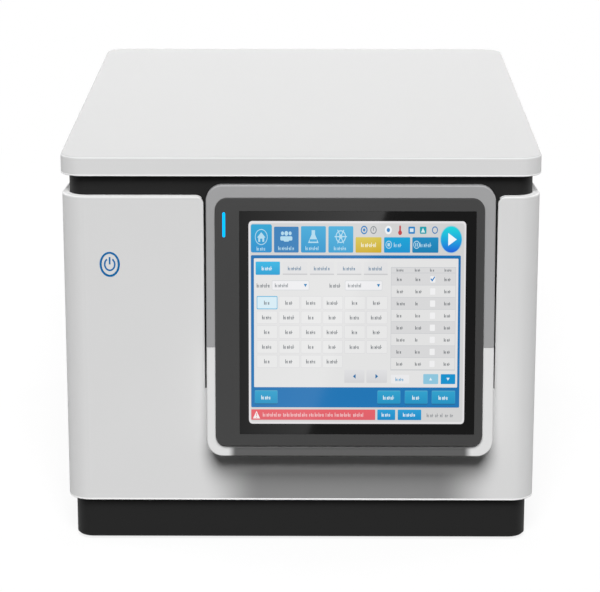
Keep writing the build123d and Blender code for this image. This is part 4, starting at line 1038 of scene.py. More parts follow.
# ---------------------------------------------------------------- outer case
@dataclass
class Case:
    """The white covers, the dark frame between them, the plinth and its feet."""

    screw_radius: float = 3.4
    screw_height: float = 1.4
    screw_inset: float = 14.0

    def build(self) -> None:
        """Dresses the covers, the frame, the plinth and the feet, and adds the panels' screws."""
        coat_nodes(
            {
                "front_cover": WHITE_ABS,
                "chassis_frame": BLACK_STEEL,
                "chassis_collar": BLACK_NYLON,
                "base_plinth": BLACK_NYLON,
                "rubber_feet": RUBBER,
                "side_panel_left": WHITE_STEEL,
                "side_panel_right": WHITE_STEEL,
            }
        )
        self.side_screws()

    def side_screws(self) -> None:
        """Fixes each side panel with small screws near its corners."""
        for side, name in ((-1, "left"), (1, "right")):
            low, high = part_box("side_panel_" + name)
            face = (low[0] if side < 0 else high[0]) / MM
            shape = Shape("side_screws_" + name).dress(ZINC)
            turn = Matrix.Rotation(math.radians(90 * side), 4, "Y")
            inset = self.screw_inset
            for y in (low[1] / MM + inset, (low[1] + high[1]) / MM / 2, high[1] / MM - inset):
                for z in (low[2] / MM + inset, high[2] / MM - inset):
                    place = Matrix.Translation((face, y, z)) @ turn
                    screw_head(shape, place, self.screw_radius, self.screw_height)
            shape.finish("base")


@dataclass
class PowerButton:
    """The blue ring on the left of the front, its key cap and the mark on the cap."""

    x: float = -213.5
    z: float = 331.2
    face_y: float = -330.8
    arc_x: float = 5.6
    arc_z: float = 6.9
    stroke: float = 1.9
    gap: float = 32.0
    bar_top: float = 8.4
    ink: float = 0.06
    steps: int = 28

    def build(self) -> None:
        """Dresses the ring, the cap and the switch, and adds the mark."""
        coat_nodes(
            {"power_light_ring": BLUE_GUIDE, "power_button": KEY_CAP, "power_switch": BLACK_PLASTIC}
        )
        place = front_frame(self.x, self.face_y, self.z)
        shape = Shape("power_mark").dress(BLUE_GUIDE)
        half = self.stroke / 2
        outer: list[Flat] = []
        inner: list[Flat] = []
        for step in range(self.steps + 1):
            turn = math.radians(90 + self.gap + (360 - 2 * self.gap) * step / self.steps)
            for row, grow in ((outer, half), (inner, -half)):
                row.append(((self.arc_x + grow) * math.cos(turn), (self.arc_z + grow) * math.sin(turn)))
        shape.ribbon(outer, inner, self.ink, place, closed=False)
        shape.tile(oblong(-half, 0, half, self.bar_top), self.ink, place)
        shape.finish("power_button", tidy=False)


# ---------------------------------------------------------------- screen pod
@dataclass
class ScreenPod:
    """The tilted pod: grey surround, dark bezel, glass, display and status light."""

    x: float = 55.5
    y: float = -349.640443
    z: float = 270.0
    tilt: float = 6.0

    def build(self) -> None:
        """Dresses the pod's pieces."""
        coat_nodes(
            {
                "pod_surround": GREY_ABS,
                "pod_bezel": BEZEL_PC,
                "cover_glass": GLASS,
                "display_panel": PANEL_FRAME,
                "pod_backplate": PLATE_STEEL,
                "status_light": CYAN_GUIDE,
            }
        )

    def plane(self, across: float, up: float) -> Matrix:
        """A frame on the pod's front face.

        Args:
            across: Offset to the viewer's right in millimetres.
            up: Offset up the face.

        Returns:
            The frame, with z out of the face.
        """
        lean = math.radians(self.tilt)
        axes = Matrix(
            (
                (1, 0, 0),
                (0, math.sin(lean), -math.cos(lean)),
                (0, math.cos(lean), math.sin(lean)),
            )
        ).to_4x4()
        return Matrix.Translation((self.x, self.y, self.z)) @ axes @ Matrix.Translation((across, up, 0))


@dataclass
class ScreenPicture:
    """The lit picture behind the glass, drawn as flat patches in screen dots."""

    pod: ScreenPod
    width: float = 241.2
    height: float = 229.4
    across: float = 7.3
    up: float = -0.4
    dots_wide: int = 1024
    dots_high: int = 768
    face: float = 4.71
    layer: float = 0.02
    facets: int = 24
    corner_steps: int = 4
    stroke_tops: tuple[float, ...] = (1.0, 0.68, 0.68, 0.86, 0.68, 1.0, 0.68)
    place: Matrix = field(init=False)
    shape: Shape = field(init=False)

    def __post_init__(self) -> None:
        """Sets the frame that counts dots right and down from the upper left corner."""
        corner = self.pod.plane(self.across - self.width / 2, self.up + self.height / 2)
        size = Matrix.Diagonal((self.width / self.dots_wide, -self.height / self.dots_high, 1.0, 1.0))
        self.place = corner @ size

    def level(self, y: float) -> float:
        """Height above the bench of a row of dots, in metres."""
        return (self.place @ Vector((0, y, self.face))).z * MM

    def fade(self, top: str, low: str, y0: float, y1: float) -> Lit:
        """Light that fades between two rows of dots.

        Args:
            top: Colour at the upper row.
            low: Colour at the lower row.
            y0: The upper row.
            y1: The lower row.

        Returns:
            The light.
        """
        return Lit(top, low, self.level(y0), self.level(y1))

    def rise(self, layer: int) -> float:
        """Height of a layer off the pod's front face, in millimetres."""
        return self.face + layer * self.layer

    def draw(self, light: Lit, outline: Sequence[Flat], layer: int) -> None:
        """A patch of light over any outline of dots.

        Args:
            light: Its light.
            outline: Its corners, clockwise on the screen.
            layer: How many steps it lies above the ground.
        """
        self.shape.dress(light).tile(outline, self.rise(layer), self.place)

    def patch(self, light: Lit, box: Box, layer: int = 1, radius: float = 0.0) -> None:
        """A rectangle of light.

        Args:
            light: Its light.
            box: Left, top, right and bottom in dots.
            layer: How many steps it lies above the ground.
            radius: Corner radius in dots.
        """
        self.draw(light, rounded(*box, radius, self.corner_steps) if radius else oblong(*box), layer)

    def hoop(self, light: Lit, x: float, y: float, radius: float, stroke: float, layer: int) -> None:
        """A ring of light.

        Args:
            light: Its light.
            x: Centre in dots.
            y: Centre in dots.
            radius: Outer radius.
            stroke: Width of the line.
            layer: How many steps it lies above the ground.
        """
        outer = circle(radius, self.facets, x, y)
        inner = circle(radius - stroke, self.facets, x, y)
        self.shape.dress(light).ribbon(outer, inner, self.rise(layer), self.place)

    def words(
        self, light: Lit, x: float, y: float, lengths: Sequence[int], high: float = 15.0, layer: int = 4
    ) -> None:
        """A line of meaningless letter-like strokes in place of words.

        Args:
            light: Their light.
            x: Left end in dots.
            y: Top of the tallest stroke.
            lengths: Number of strokes in each group.
            high: Height of the tallest stroke.
            layer: How many steps they lie above the ground.
        """
        # each sign is a stem, and by turns a crossbar and a second stem, as shares of its width and height
        step = high * 0.56
        foot = y + high
        at = x
        count = 0
        for length in lengths:
            for _ in range(length):
                top = y + high * (1 - self.stroke_tops[count % len(self.stroke_tops)])
                self.patch(light, (at, top, at + step * 0.3, foot), layer)
                if count % 3 != 1:
                    self.patch(light, (at, y + high * 0.5, at + step * 0.74, y + high * 0.66), layer)
                if count % 2 == 0:
                    self.patch(light, (at + step * 0.48, y + high * 0.36, at + step * 0.74, foot), layer)
                at += step
                count += 1
            at += step * 0.8

    def build(self) -> None:
        """Draws the whole picture in a few pieces."""
        drawings = {
            "screen_ground": self.ground,
            "screen_top_row": self.top_row,
            "screen_menu_frame": self.menu_frame,
            "screen_test_grid": self.test_grid,
            "screen_item_table": self.item_table,
            "screen_command_bar": self.command_bar,
            "screen_status_row": self.status_row,
        }
        for name, drawing in drawings.items():
            self.shape = Shape(name)
            drawing()
            self.shape.finish("base", tidy=False)

    def ground(self) -> None:
        """The pale ground with a lighter rim and round corners."""
        wide, high, rim = self.dots_wide, self.dots_high, 8
        self.patch(Lit("e6e4e6"), (0, 0, wide, high), 0, 16)
        self.patch(Lit("d4d4d4"), (rim, rim, wide - rim, high - rim), 1, 12)

    def top_row(self) -> None:
        """The large buttons along the top and the small signs over them."""
        foot = 118
        keys = (
            ("2ba7d4", "2a90cf", 11, 12, 110, 8),
            ("357fba", None, 120, 21, 236, 5),
            ("41abd9", "2b96ce", 247, 19, 364, 5),
            ("48b0dc", "35a0d2", 376, 19, 493, 5),
            ("d9c64e", "d0ae2a", 504, 60, 626, 4),
            ("14a6d8", "1c94d1", 638, 60, 761, 4),
            ("1f8ec4", "1880b4", 771, 60, 894, 4),
        )
        for top, low, left, upper, right, radius in keys:
            light = self.fade(top, low, upper, foot) if low else Lit(top)
            self.patch(light, (left, upper, right, foot), 2, radius)
        self.draw(Lit("9fc9dc"), circle(52, 40, 954, 68), 2)
        self.draw(self.fade("19dade", "1a58de", 18, foot), circle(49, 40, 954, 68), 3)
        self.key_signs()
        white = Lit("b4dcef")
        captions = (
            (white, 38, 96, 5, 15),
            (white, 140, 94, 9, 15),
            (white, 268, 94, 8, 15),
            (white, 402, 94, 7, 15),
            (Lit("f3f0d8"), 530, 80, 8, 17),
            (white, 684, 80, 4, 17),
            (white, 806, 80, 6, 17),
        )
        for light, x, y, count, high in captions:
            self.words(light, x, y, (count,), high)
        # stop: a square in a ring; pause: two bars in a ring; start: a triangle
        for x in (660, 791):
            self.hoop(white, x, 88, 15, 3, 4)
        for box in ((654, 82, 666, 94), (785, 81, 789, 95), (793, 81, 797, 95)):
            self.patch(white, box, 4)
        self.draw(Lit("f4fbff"), ((940, 44), (980, 68), (940, 92)), 4)
        self.small_signs()

    def key_signs(self) -> None:
        """The signs on the four large keys: a house, three figures, a flask and a wheel."""
        white = Lit("b4dcef")
        self.hoop(white, 60, 60, 30, 3, 3)
        self.draw(white, ((60, 42), (80, 62), (40, 62)), 3)
        self.patch(white, (46, 60, 74, 78), 3)
        self.patch(Lit("2b9cd1"), (55, 66, 65, 78), 4)
        for x, big in ((160, 0.8), (196, 0.8), (178, 1.0)):
            self.draw(white, circle(9 * big, 12, x, 46), 4)
            self.patch(white, (x - 13 * big, 57, x + 13 * big, 57 + 20 * big), 4, 5)
        self.draw(white, ((297, 34), (313, 34), (313, 50), (330, 82), (280, 82), (297, 50)), 3)
        self.patch(Lit("3ea7d7"), (288, 68, 322, 77), 4)
        wheel_x, wheel_y, hub, rim, half = 434, 58, 8, 29, 2
        self.hoop(white, wheel_x, wheel_y, 24, 4, 3)
        self.draw(white, circle(hub, 16, wheel_x, wheel_y), 3)
        for spoke in range(6):
            turn = math.radians(60 * spoke)
            out = (math.cos(turn), math.sin(turn))
            side = (half * out[1], -half * out[0])
            ends = ((hub, 1), (rim, 1), (rim, -1), (hub, -1))
            quad = [
                (wheel_x + reach * out[0] + way * side[0], wheel_y + reach * out[1] + way * side[1])
                for reach, way in ends
            ]
            self.draw(white, quad, 4)

    def small_signs(self) -> None:
        """The row of small signs at the upper right."""
        blue = Lit("2a7fc0")
        grey = Lit("8a8f94")
        red = Lit("c0474a")
        middle = 33
        self.hoop(blue, 544, middle, 16, 5, 3)
        self.draw(blue, circle(6, 12, 544, middle), 3)
        self.hoop(grey, 588, middle, 15, 4, 3)
        self.patch(grey, (586, 24, 590, 36), 3)
        self.draw(Lit("f4f7f9"), circle(16, 20, 658, middle), 3)
        self.draw(Lit("3c86c4"), circle(8, 16, 658, middle), 4)
        self.patch(red, (709, 16, 717, 40), 3, 3)
        self.draw(red, circle(9, 16, 713, 43), 4)
        self.patch(Lit("2b86c8"), (752, 20, 783, 47), 3, 4)
        self.patch(Lit("dceaf3"), (759, 27, 776, 40), 4)
        self.patch(Lit("1f9fae"), (806, 20, 837, 47), 3, 4)
        self.draw(Lit("d8eff0"), ((821, 25), (831, 42), (811, 42)), 4)
        self.hoop(Lit("3a7bb8"), 877, middle, 14, 4, 3)

    def menu_frame(self) -> None:
        """The blue frame, its pale sheet and the row of tabs."""
        self.patch(self.fade("1670b2", "1c76b6", 128, 705), (11, 128, 1000, 705), 2, 5)
        self.patch(Lit("e5e5e5"), (25, 140, 989, 628), 3, 3)
        self.patch(self.fade("35b8e6", "21a0d4", 152, 202), (33, 152, 148, 202), 4, 4)
        self.words(Lit("eef8fc"), 62, 170, (6,), 15, 5)
        for x0, x1, count in ((161, 277, 8), (289, 403, 9), (417, 532, 7), (544, 656, 8)):
            self.patch(Lit("e3e3e4"), (x0, 153, x1, 198), 4, 4)
            self.patch(Lit("cbcbcd"), (x0, 197, x1, 202), 5)
            self.words(Lit("5b7f9c"), (x0 + x1) / 2 - count * 4.2, 170, (count,), 15, 5)

    def test_grid(self) -> None:
        """The drop-down fields and the grid of test keys."""
        for x, label, count in ((110, 38, 7), (455, 382, 6)):
            self.words(Lit("6c7278"), label, 234, (count,), 16, 4)
            self.patch(Lit("d2d5d8"), (x, 223, x + 176, 260), 4, 4)
            self.patch(Lit("f0f0f2"), (x + 2, 225, x + 174, 258), 5, 3)
            self.words(Lit("7b8288"), x + 14, 234, (8,), 15, 6)
            self.draw(Lit("2f86bd"), ((x + 150, 236), (x + 166, 236), (x + 158, 248)), 6)
        columns = ((38, 136), (143, 241), (247, 344), (350, 445), (453, 551), (557, 656))
        rows = ((282, 332), (338, 387), (393, 443), (449, 499), (505, 554))
        for row, (y0, y1) in enumerate(rows):
            for column, (x0, x1) in enumerate(columns[:4] if row == 4 else columns):
                first = row == 0 and column == 0
                self.patch(Lit("5bb4dc" if first else "dad9dc"), (x0, y0, x1, y1), 4, 4)
                inset = 3 if first else 1.5
                fill = Lit("d9edf6" if first else "eaeaea")
                self.patch(fill, (x0 + inset, y0 + inset, x1 - inset, y1 - inset), 5, 3)
                count = 3 + (row * 2 + column) % 4
                middle = (x0 + x1) / 2 - count * 4.7
                self.words(Lit("6a6f75"), middle, (y0 + y1) / 2 - 8, (count,), 16, 6)
        for x0, x1, way in ((453, 549, -1), (558, 656, 1)):
            self.patch(self.fade("e2e2e4", "d6d6d8", 561, 611), (x0, 561, x1, 611), 4, 4)
            middle = (x0 + x1) / 2
            arrow = ((middle + 7 * way, 586), (middle - 6 * way, 577), (middle - 6 * way, 595))
            self.draw(Lit("1f6fa8"), arrow, 5)

    def item_table(self) -> None:
        """The list on the right with its head, its shaded rows and its tick boxes."""
        left, right, head, foot, rows = 674, 976, 195, 561, 8
        self.patch(Lit("c9cbce"), (672, 172, 978, 563), 4)
        self.patch(Lit("dadadb"), (left, 174, right, 193), 5)
        for x, count in ((698, 5), (784, 4), (856, 3), (924, 5)):
            self.words(Lit("63696f"), x, 177, (count,), 12, 6)
        high = (foot - head) / rows
        ink = Lit("5f6469")
        for row in range(rows):
            y0 = head + row * high
            self.patch(Lit("e4e4e4" if row % 2 else "dadadb"), (left, y0, right, y0 + high - 1.5), 5)
            y = y0 + high / 2
            for x, count in ((700, 3 + row % 3), (788, 2 + (row + 1) % 3), (924, 4)):
                self.words(ink, x, y - 7, (count,), 14, 6)
            self.patch(Lit("f2f2f3"), (857, y - 12, 881, y + 12), 6, 3)
            if row == 0:
                tick = ((858, y - 1), (866, y + 9), (880, y - 8), (876, y - 11), (866, y + 1), (861, y - 5))
                self.draw(Lit("1f7fc2"), tick, 8)
        self.patch(Lit("ececee"), (675, 580, 761, 613), 4, 3)
        self.words(Lit("4a9fcb"), 696, 590, (5,), 14, 5)
        self.patch(Lit("8fc8e0"), (828, 577, 899, 615), 4, 3)
        self.draw(Lit("e8f4fa"), ((863, 590), (870, 601), (856, 601)), 5)
        self.patch(Lit("0f93cf"), (911, 577, 980, 615), 4, 3)
        self.draw(Lit("e8f4fa"), ((938, 591), (953, 591), (945, 602)), 5)

    def command_bar(self) -> None:
        """The blue band of command keys at the foot of the frame."""
        for x0, x1, count in ((28, 136, 5), (611, 720, 6), (741, 849, 4), (869, 980, 5)):
            self.patch(Lit("256d9a"), (x0, 641, x1, 694), 3, 4)
            self.patch(Lit("55abcb"), (x0, 640, x1, 690), 4, 4)
            self.patch(self.fade("30a2ce", "2294c4", 643, 690), (x0 + 1, 643, x1 - 1, 690), 5, 3)
            self.words(Lit("eef8fc"), (x0 + x1) / 2 - count * 4.6, 659, (count,), 16, 6)

    def status_row(self) -> None:
        """The red message field, two blue fields and the date at the bottom."""
        self.patch(self.fade("e8636b", "e0626c", 713, 753), (11, 713, 601, 753), 2, 3)
        self.draw(Lit("f6f0f0"), ((36, 719), (53, 748), (19, 748)), 3)
        self.patch(Lit("e5626a"), (34.5, 727, 37.5, 739), 4)
        self.patch(Lit("e5626a"), (34.5, 742, 37.5, 745), 4)
        self.words(Lit("f3c9cb"), 66, 725, (10, 13, 8, 4, 9, 6), 16, 3)
        for x0, x1, count in ((611, 696, 5), (708, 820, 7)):
            self.patch(self.fade("2ba0d8", "178cc8", 713, 753), (x0, 713, x1, 753), 2, 3)
            self.words(Lit("eef8fc"), (x0 + x1) / 2 - count * 4.4, 725, (count,), 15, 3)
        self.words(Lit("8a8d91"), 846, 727, (4, 2, 2, 2, 2), 15, 3)


# ---------------------------------------------------------------- lid
@dataclass
class Lid:
    """The big white lid, its liner, bumpers and hinges."""

    screw_radius: float = 2.9
    screw_height: float = 1.3
    screw_side: float = 15.0
    screw_rise: float = 9.0
    leaf_half: float = 24.3
    leaf_skin: float = 2.5

    def build(self) -> None:
        """Dresses the lid and its hinges, and adds the hinge screws."""
        coat_nodes(
            {
                "lid_shell": WHITE_ABS,
                "lid_liner": DECK_SHEET,
                "lid_bumpers": RUBBER,
                "hinge_base_leaves": HINGE_STEEL,
                "hinge_lid_leaves": HINGE_STEEL,
                "hinge_pins": GROUND_STEEL,
            }
        )
        self.screws()

    def screws(self) -> None:
        """Fixes each base leaf to the case with two small screws."""
        low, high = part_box("hinge_base_leaves")
        face = low[1] / MM + self.leaf_skin
        shape = Shape("hinge_screws").dress(ZINC)
        for middle in (low[0] / MM + self.leaf_half, high[0] / MM - self.leaf_half):
            for side in (-self.screw_side, self.screw_side):
                place = rear_frame(middle + side, face, low[2] / MM + self.screw_rise)
                screw_head(shape, place, self.screw_radius, self.screw_height)
        shape.finish("base")


# ---------------------------------------------------------------- chamber under the lid
@dataclass
class WorkDeck:
    """Everything in the chamber: deck, tubs, discs, vessels, arms, wells and photometer."""

    sample: Flat = (126.0, 64.2)
    free_place: Flat = (73.04348, 89.268278)
    positions: int = 10
    bottle_ring: float = 90.09
    tube_ring: float = 58.5902
    cap_low: float = 350.0
    cap_high: float = 362.0
    cap_radius: float = 10.0
    cap_ribs: int = 24
    rib_depth: float = 0.45
    cap_chamfer: float = 1.4
    cap_ledge: float = 0.8
    cap_dish: float = 0.96
    cap_sink: float = 0.5
    stopper_low: float = 346.0
    stopper_high: float = 360.0
    stopper_radius: float = 8.0
    stopper_foot: float = 6.7
    stopper_facets: int = 28
    disc_top: float = 341.0
    number_ring: float = 44.5
    number_high: float = 9.0
    reaction: Flat = (-138.0, 69.2)
    dip: Flat = (-46.037, 66.551)
    cell_ring: float = 92.0
    cells: int = 48
    cell_half: float = 1.9
    liquid_low: float = 322.0
    liquid_high: float = 341.0
    column: dict[str, Flat] = field(
        default_factory=lambda: {"probe": (-12.5, 214.2), "mixer": (-200.0, 209.2)}
    )
    well: dict[str, Flat] = field(
        default_factory=lambda: {"probe": (-12.5, 62.787906), "mixer": (-108.949437, 209.2)}
    )
    arm_screw_shares: Flat = (0.0, 0.72)
    arm_screw_radius: float = 3.0
    arm_screw_height: float = 1.2

    def build(self) -> None:
        """Dresses the nodes and builds the caps, stoppers, numbers, liquids and arm screws."""
        coat_nodes(
            {
                "work_deck": DECK_SHEET,
                "reaction_tub": TURNED_ALUMINIUM,
                "sample_tub": TURNED_ALUMINIUM,
                "reaction_motor": MOTOR_CAN,
                "sample_motor": MOTOR_CAN,
                "reaction_disc": DARK_ANODISED,
                "cuvette_ring": CUVETTE_ACRYLIC,
                "sample_disc": CARRIER_PP,
                "reagent_bottles": BOTTLE_HDPE,
                "sample_tubes": TUBE_GLASS,
            }
        )
        for arm in ("probe", "mixer"):
            coat_nodes(
                {
                    arm + "_guide": GUIDE_ALUMINIUM,
                    arm + "_drive": BLACK_PLASTIC,
                    arm + "_shaft": GROUND_STEEL,
                    arm + "_arm": ARM_ABS,
                    arm + "_wash_well": CARRIER_PP,
                }
            )
            self.arm_screws(arm)
        coat_nodes({"probe_needle": GROUND_STEEL, "mixer_paddle": GROUND_STEEL, "photometer": BLACK_PLASTIC})
        self.caps()
        self.stoppers()
        self.numbers()
        self.liquids()

    def turns(self) -> list[float]:
        """Angles of the disc's places in radians, from the free one."""
        start = math.atan2(self.free_place[1] - self.sample[1], self.free_place[0] - self.sample[0])
        return [start + math.tau * place / self.positions for place in range(self.positions)]

    def at(self, turn: float, ring: float, z: float) -> Matrix:
        """A frame on the sample disc at an angle, a ring radius and a height."""
        return ring_frame(self.sample, ring, turn, z)

    def caps(self) -> None:
        """Builds the ribbed screw caps."""
        shape = Shape("ribbed_bottle_caps").dress(CAP_PP)
        points = self.cap_ribs * 2
        height = self.cap_high - self.cap_low
        steps = ((0.0, 0.0), (height - self.cap_chamfer, 0.0), (height, -self.cap_chamfer))
        for turn in self.turns():
            rings: list[list[Point]] = []
            for level, grow in steps:
                ring = []
                for point in range(points):
                    around = math.tau * point / points
                    groove = self.rib_depth if point % 2 and level < height else 0.0
                    radius = self.cap_radius + grow - groove
                    ring.append((radius * math.cos(around), radius * math.sin(around), level))
                rings.append(ring)
            for share, level in ((self.cap_ledge, height), (self.cap_dish, height - self.cap_sink)):
                rings.append([(x * share, y * share, level) for x, y, _ in rings[-1]])
            shape.loft(rings, self.at(turn, self.bottle_ring, self.cap_low))
        shape.finish("sample_rotor", "bottle_caps")

    def stoppers(self) -> None:
        """Builds the rubber stoppers with dished tops."""
        shape = Shape("dished_tube_stoppers").dress(STOPPER)
        height = self.stopper_high - self.stopper_low
        radius = self.stopper_radius
        # foot, side, eased rim and dish
        profile = (
            (self.stopper_foot, 0.0),
            (radius, 0.0),
            (radius, height - 1.5),
            (radius - 1.5, height),
            (radius - 3.0, height),
            (radius - 4.0, height - 1.6),
            (0.0, height - 2.0),
        )
        for turn in self.turns()[1:]:
            shape.lathe(profile, self.at(turn, self.tube_ring, self.stopper_low), self.stopper_facets)
        shape.finish("sample_rotor", "tube_stoppers")

    def numbers(self) -> None:
        """Prints a plain number beside each place of the sample disc."""
        shape = Shape("place_numbers").dress(GREY_INK)
        across = Matrix.Rotation(math.pi / 2, 4, "Z")
        for place, turn in enumerate(self.turns()):
            written = bpy.data.curves.new("number", "FONT")
            written.body = str(place + 1)
            written.size = self.number_high
            written.align_x = "CENTER"
            written.align_y = "CENTER"
            holder = bpy.data.objects.new("number", written)
            drawn = bpy.data.meshes.new_from_object(holder)
            stand = self.at(turn, self.number_ring, self.disc_top + INK_LIFT) @ across
            drawn.transform(Matrix.Scale(MM, 4) @ stand)
            shape.mesh.from_mesh(drawn)
            bpy.data.objects.remove(holder)
        shape.finish("sample_rotor", tidy=False)

    def liquids(self) -> None:
        """Fills the reaction cells with reagent."""
        shape = Shape("cell_reagent").dress(REAGENT)
        half = self.cell_half
        square = oblong(-half, -half, half, half)
        start = math.atan2(self.dip[1] - self.reaction[1], self.dip[0] - self.reaction[0])
        for cell in range(self.cells):
            place = ring_frame(self.reaction, self.cell_ring, start + math.tau * cell / self.cells, 0.0)
            shape.prism(square, self.liquid_low, self.liquid_high, place)
        shape.finish("reaction_rotor")

    def arm_screws(self, arm: str) -> None:
        """Holds an arm's cover with two screws along its top.

        Args:
            arm: Which arm, probe or mixer.
        """
        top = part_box(arm + "_arm")[1][2] / MM
        shape = Shape(arm + "_arm_screws").dress(ZINC)
        root = Vector(self.column[arm])
        tip = Vector(self.well[arm])
        for share in self.arm_screw_shares:
            x, y = root.lerp(tip, share)
            screw_head(shape, upright_frame(x, y, top), self.arm_screw_radius, self.arm_screw_height)
        shape.finish(arm + "_swing_arm")


# ---------------------------------------------------------------- back of the case
@dataclass
class RearFittings:
    """The rear panel with its fan, mains inlet, data sockets and fluid ports."""

    face_y: float = 342.7
    panel_x: float = 225.0
    screw_rows: tuple[float, ...] = (73.5, 230.5, 387.5)
    screw_radius: float = 4.0
    screw_height: float = 1.6
    fan_x: float = -140.0
    fan_z: float = 190.0
    guard_wire: float = 1.2
    guard_stand: float = 1.6
    guard_rings: tuple[float, ...] = (12.0, 21.5, 31.0, 40.5)
    guard_turns: tuple[float, ...] = (45.0, 135.0, 225.0, 315.0)
    guard_steps: int = 48
    guard_facets: int = 8
    spoke_middle: float = 30.0
    spoke_end: float = 4.0
    guard_tab: float = 58.34
    eye_radius: float = 3.3
    eye_wire: float = 0.9
    eye_steps: int = 20
    clamp_radius: float = 3.0
    clamp_height: float = 2.6
    clamp_stand: float = 0.2
    rocker_at: Point = (150.0, 341.7, 118.0)
    rocker_tilt: float = 8.0
    rocker_half: float = 9.3
    rocker_crown: float = 4.5
    rocker_waist: float = 2.5
    sign_half: float = 2.4
    sign_bore: float = 1.6
    sign_bar: float = 0.45
    sign_steps: int = 24
    port_z: float = 105.0
    port_face: float = 346.7
    ports: tuple[float, ...] = (-41.0, -7.0, 27.0, 61.0)
    nut_radius: float = 9.4
    nut_height: float = 3.0
    nut_chamfer: float = 0.8
    barbs: tuple[Flat, ...] = (
        (4.2, 3.0), (5.1, 4.0), (4.75, 6.4), (5.0, 6.5), (4.2, 8.9), (4.5, 9.0), (3.5, 11.9), (2.2, 12.0),
        (2.2, 11.9),
    )
    barb_facets: int = 28
    bore_radius: float = 2.2
    bore_steps: int = 24
    bore_level: float = 11.95
    data_x: float = 150.0
    data_z: float = 230.0
    data_skin: float = 1.2
    data_depth: float = 8.0
    data_sockets: tuple[float, ...] = (22.0, 3.0, -20.0)
    square_tongue: Box = (-2.8, -1.6, 2.8, 1.6)
    square_length: float = 6.0
    wide_tongue: Box = (-6.5, 3.6, 6.5, 5.6)
    wide_length: float = 6.5
    tongue_chamfer: float = 0.3
    finger: Box = (-0.3, 3.0, 0.3, 3.6)
    finger_length: float = 6.0
    finger_pitch: float = 1.3
    fingers: int = 8
    pin_rows: tuple[tuple[float, int], ...] = ((1.4, 5), (-1.4, 4))
    pin_profile: tuple[Flat, ...] = ((0.5, 0.0), (0.5, 4.6), (0.25, 5.2))
    pin_pitch: float = 2.8
    pin_facets: int = 12

    def build(self) -> None:
        """Dresses the fittings and builds screws, fan guard, signs, port nuts and contacts."""
        coat_nodes(
            {
                "rear_panel": WHITE_STEEL,
                "fan_frame": BLACK_PLASTIC,
                "fan_rotor": BLACK_PLASTIC,
                "mains_inlet": BLACK_PLASTIC,
                "inlet_pins": NICKEL,
                "rocker_switch": BLACK_PLASTIC,
                "fluid_ports": CARRIER_PP,
                "data_ports": PLATE_STEEL,
            }
        )
        self.screws()
        self.guard()
        self.rocker_marks()
        self.port_nuts()
        self.data_contacts()

    def screws(self) -> None:
        """Builds the panel's six cross-recess screws."""
        shape = Shape("rear_panel_screws").dress(ZINC)
        for x in (-self.panel_x, self.panel_x):
            for z in self.screw_rows:
                screw_head(shape, rear_frame(x, self.face_y, z), self.screw_radius, self.screw_height)
        shape.finish("base", "panel_screws")

    def guard(self) -> None:
        """Builds the round-wire fan guard with its four fixing eyes and their screws."""
        shape = Shape("wire_fan_guard").dress(ZINC)
        y = self.face_y + self.guard_stand
        for radius in self.guard_rings:
            path = upright_loop(self.fan_x, y, self.fan_z, radius, self.guard_steps)
            shape.tube(path, self.guard_wire, self.guard_facets, closed=True)
        reaches = (self.guard_rings[0], self.spoke_middle, self.guard_tab - self.spoke_end)
        for turn in self.guard_turns:
            across = math.cos(math.radians(turn))
            up = math.sin(math.radians(turn))
            spoke = [(self.fan_x + reach * across, y, self.fan_z + reach * up) for reach in reaches]
            shape.tube(spoke, self.guard_wire, self.guard_facets)
            x = self.fan_x + self.guard_tab * across
            z = self.fan_z + self.guard_tab * up
            eye = upright_loop(x, y, z, self.eye_radius, self.eye_steps)
            shape.tube(eye, self.guard_wire * self.eye_wire, self.guard_facets, closed=True)
            clamp = rear_frame(x, self.face_y + self.clamp_stand, z)
            screw_head(shape, clamp, self.clamp_radius, self.clamp_height)
        shape.finish("base", "fan_guard")

    def rocker_marks(self) -> None:
        """Prints the plain on and off signs on the rocker's two slopes."""
        lean = math.radians(self.rocker_tilt)
        along = Vector((math.cos(lean), -math.sin(lean), 0.0))
        out = Vector((math.sin(lean), math.cos(lean), 0.0))
        slope = math.atan2(self.rocker_crown - self.rocker_waist, self.rocker_half)
        shape = Shape("rocker_signs").dress(WHITE_INK)
        for side in (-1, 1):
            across = along * (side * math.cos(slope)) + out * math.sin(slope)
            normal = out * math.cos(slope) - along * (side * math.sin(slope))
            middle = Vector(self.rocker_at) + out * self.rocker_waist + across * (self.rocker_half / 2)
            axes = Matrix((across, normal.cross(across), normal)).transposed().to_4x4()
            place = Matrix.Translation(middle) @ axes
            if side < 0:
                bar = oblong(-self.sign_bar, -self.sign_half, self.sign_bar, self.sign_half)
                shape.tile(bar, INK_LIFT, place)
            else:
                rim = circle(self.sign_half, self.sign_steps)
                shape.ribbon(rim, circle(self.sign_bore, self.sign_steps), INK_LIFT, place)
        shape.finish("rocker_switch", tidy=False)

    def port_nuts(self) -> None:
        """Adds a hexagon nut and the barbs to each hose tail, with a dark disc of painted shade on its open
        end.
        """
        nuts = Shape("port_nuts").dress(NICKEL)
        tails = Shape("port_barbs")
        hexagon = circle(self.nut_radius, 6, start=30.0)
        bore = circle(self.bore_radius, self.bore_steps)
        for x in self.ports:
            place = rear_frame(x, self.port_face, self.port_z)
            nuts.prism(hexagon, 0.0, self.nut_height, place, self.nut_chamfer)
            tails.dress(NICKEL).lathe(self.barbs, place, self.barb_facets)
            # painted shade: a dark disc on the tail's end for the inside of its bore
            tails.dress(PAINTED_BORE_SHADE).tile(bore, self.bore_level, place)
        nuts.finish("base")
        tails.finish("base")

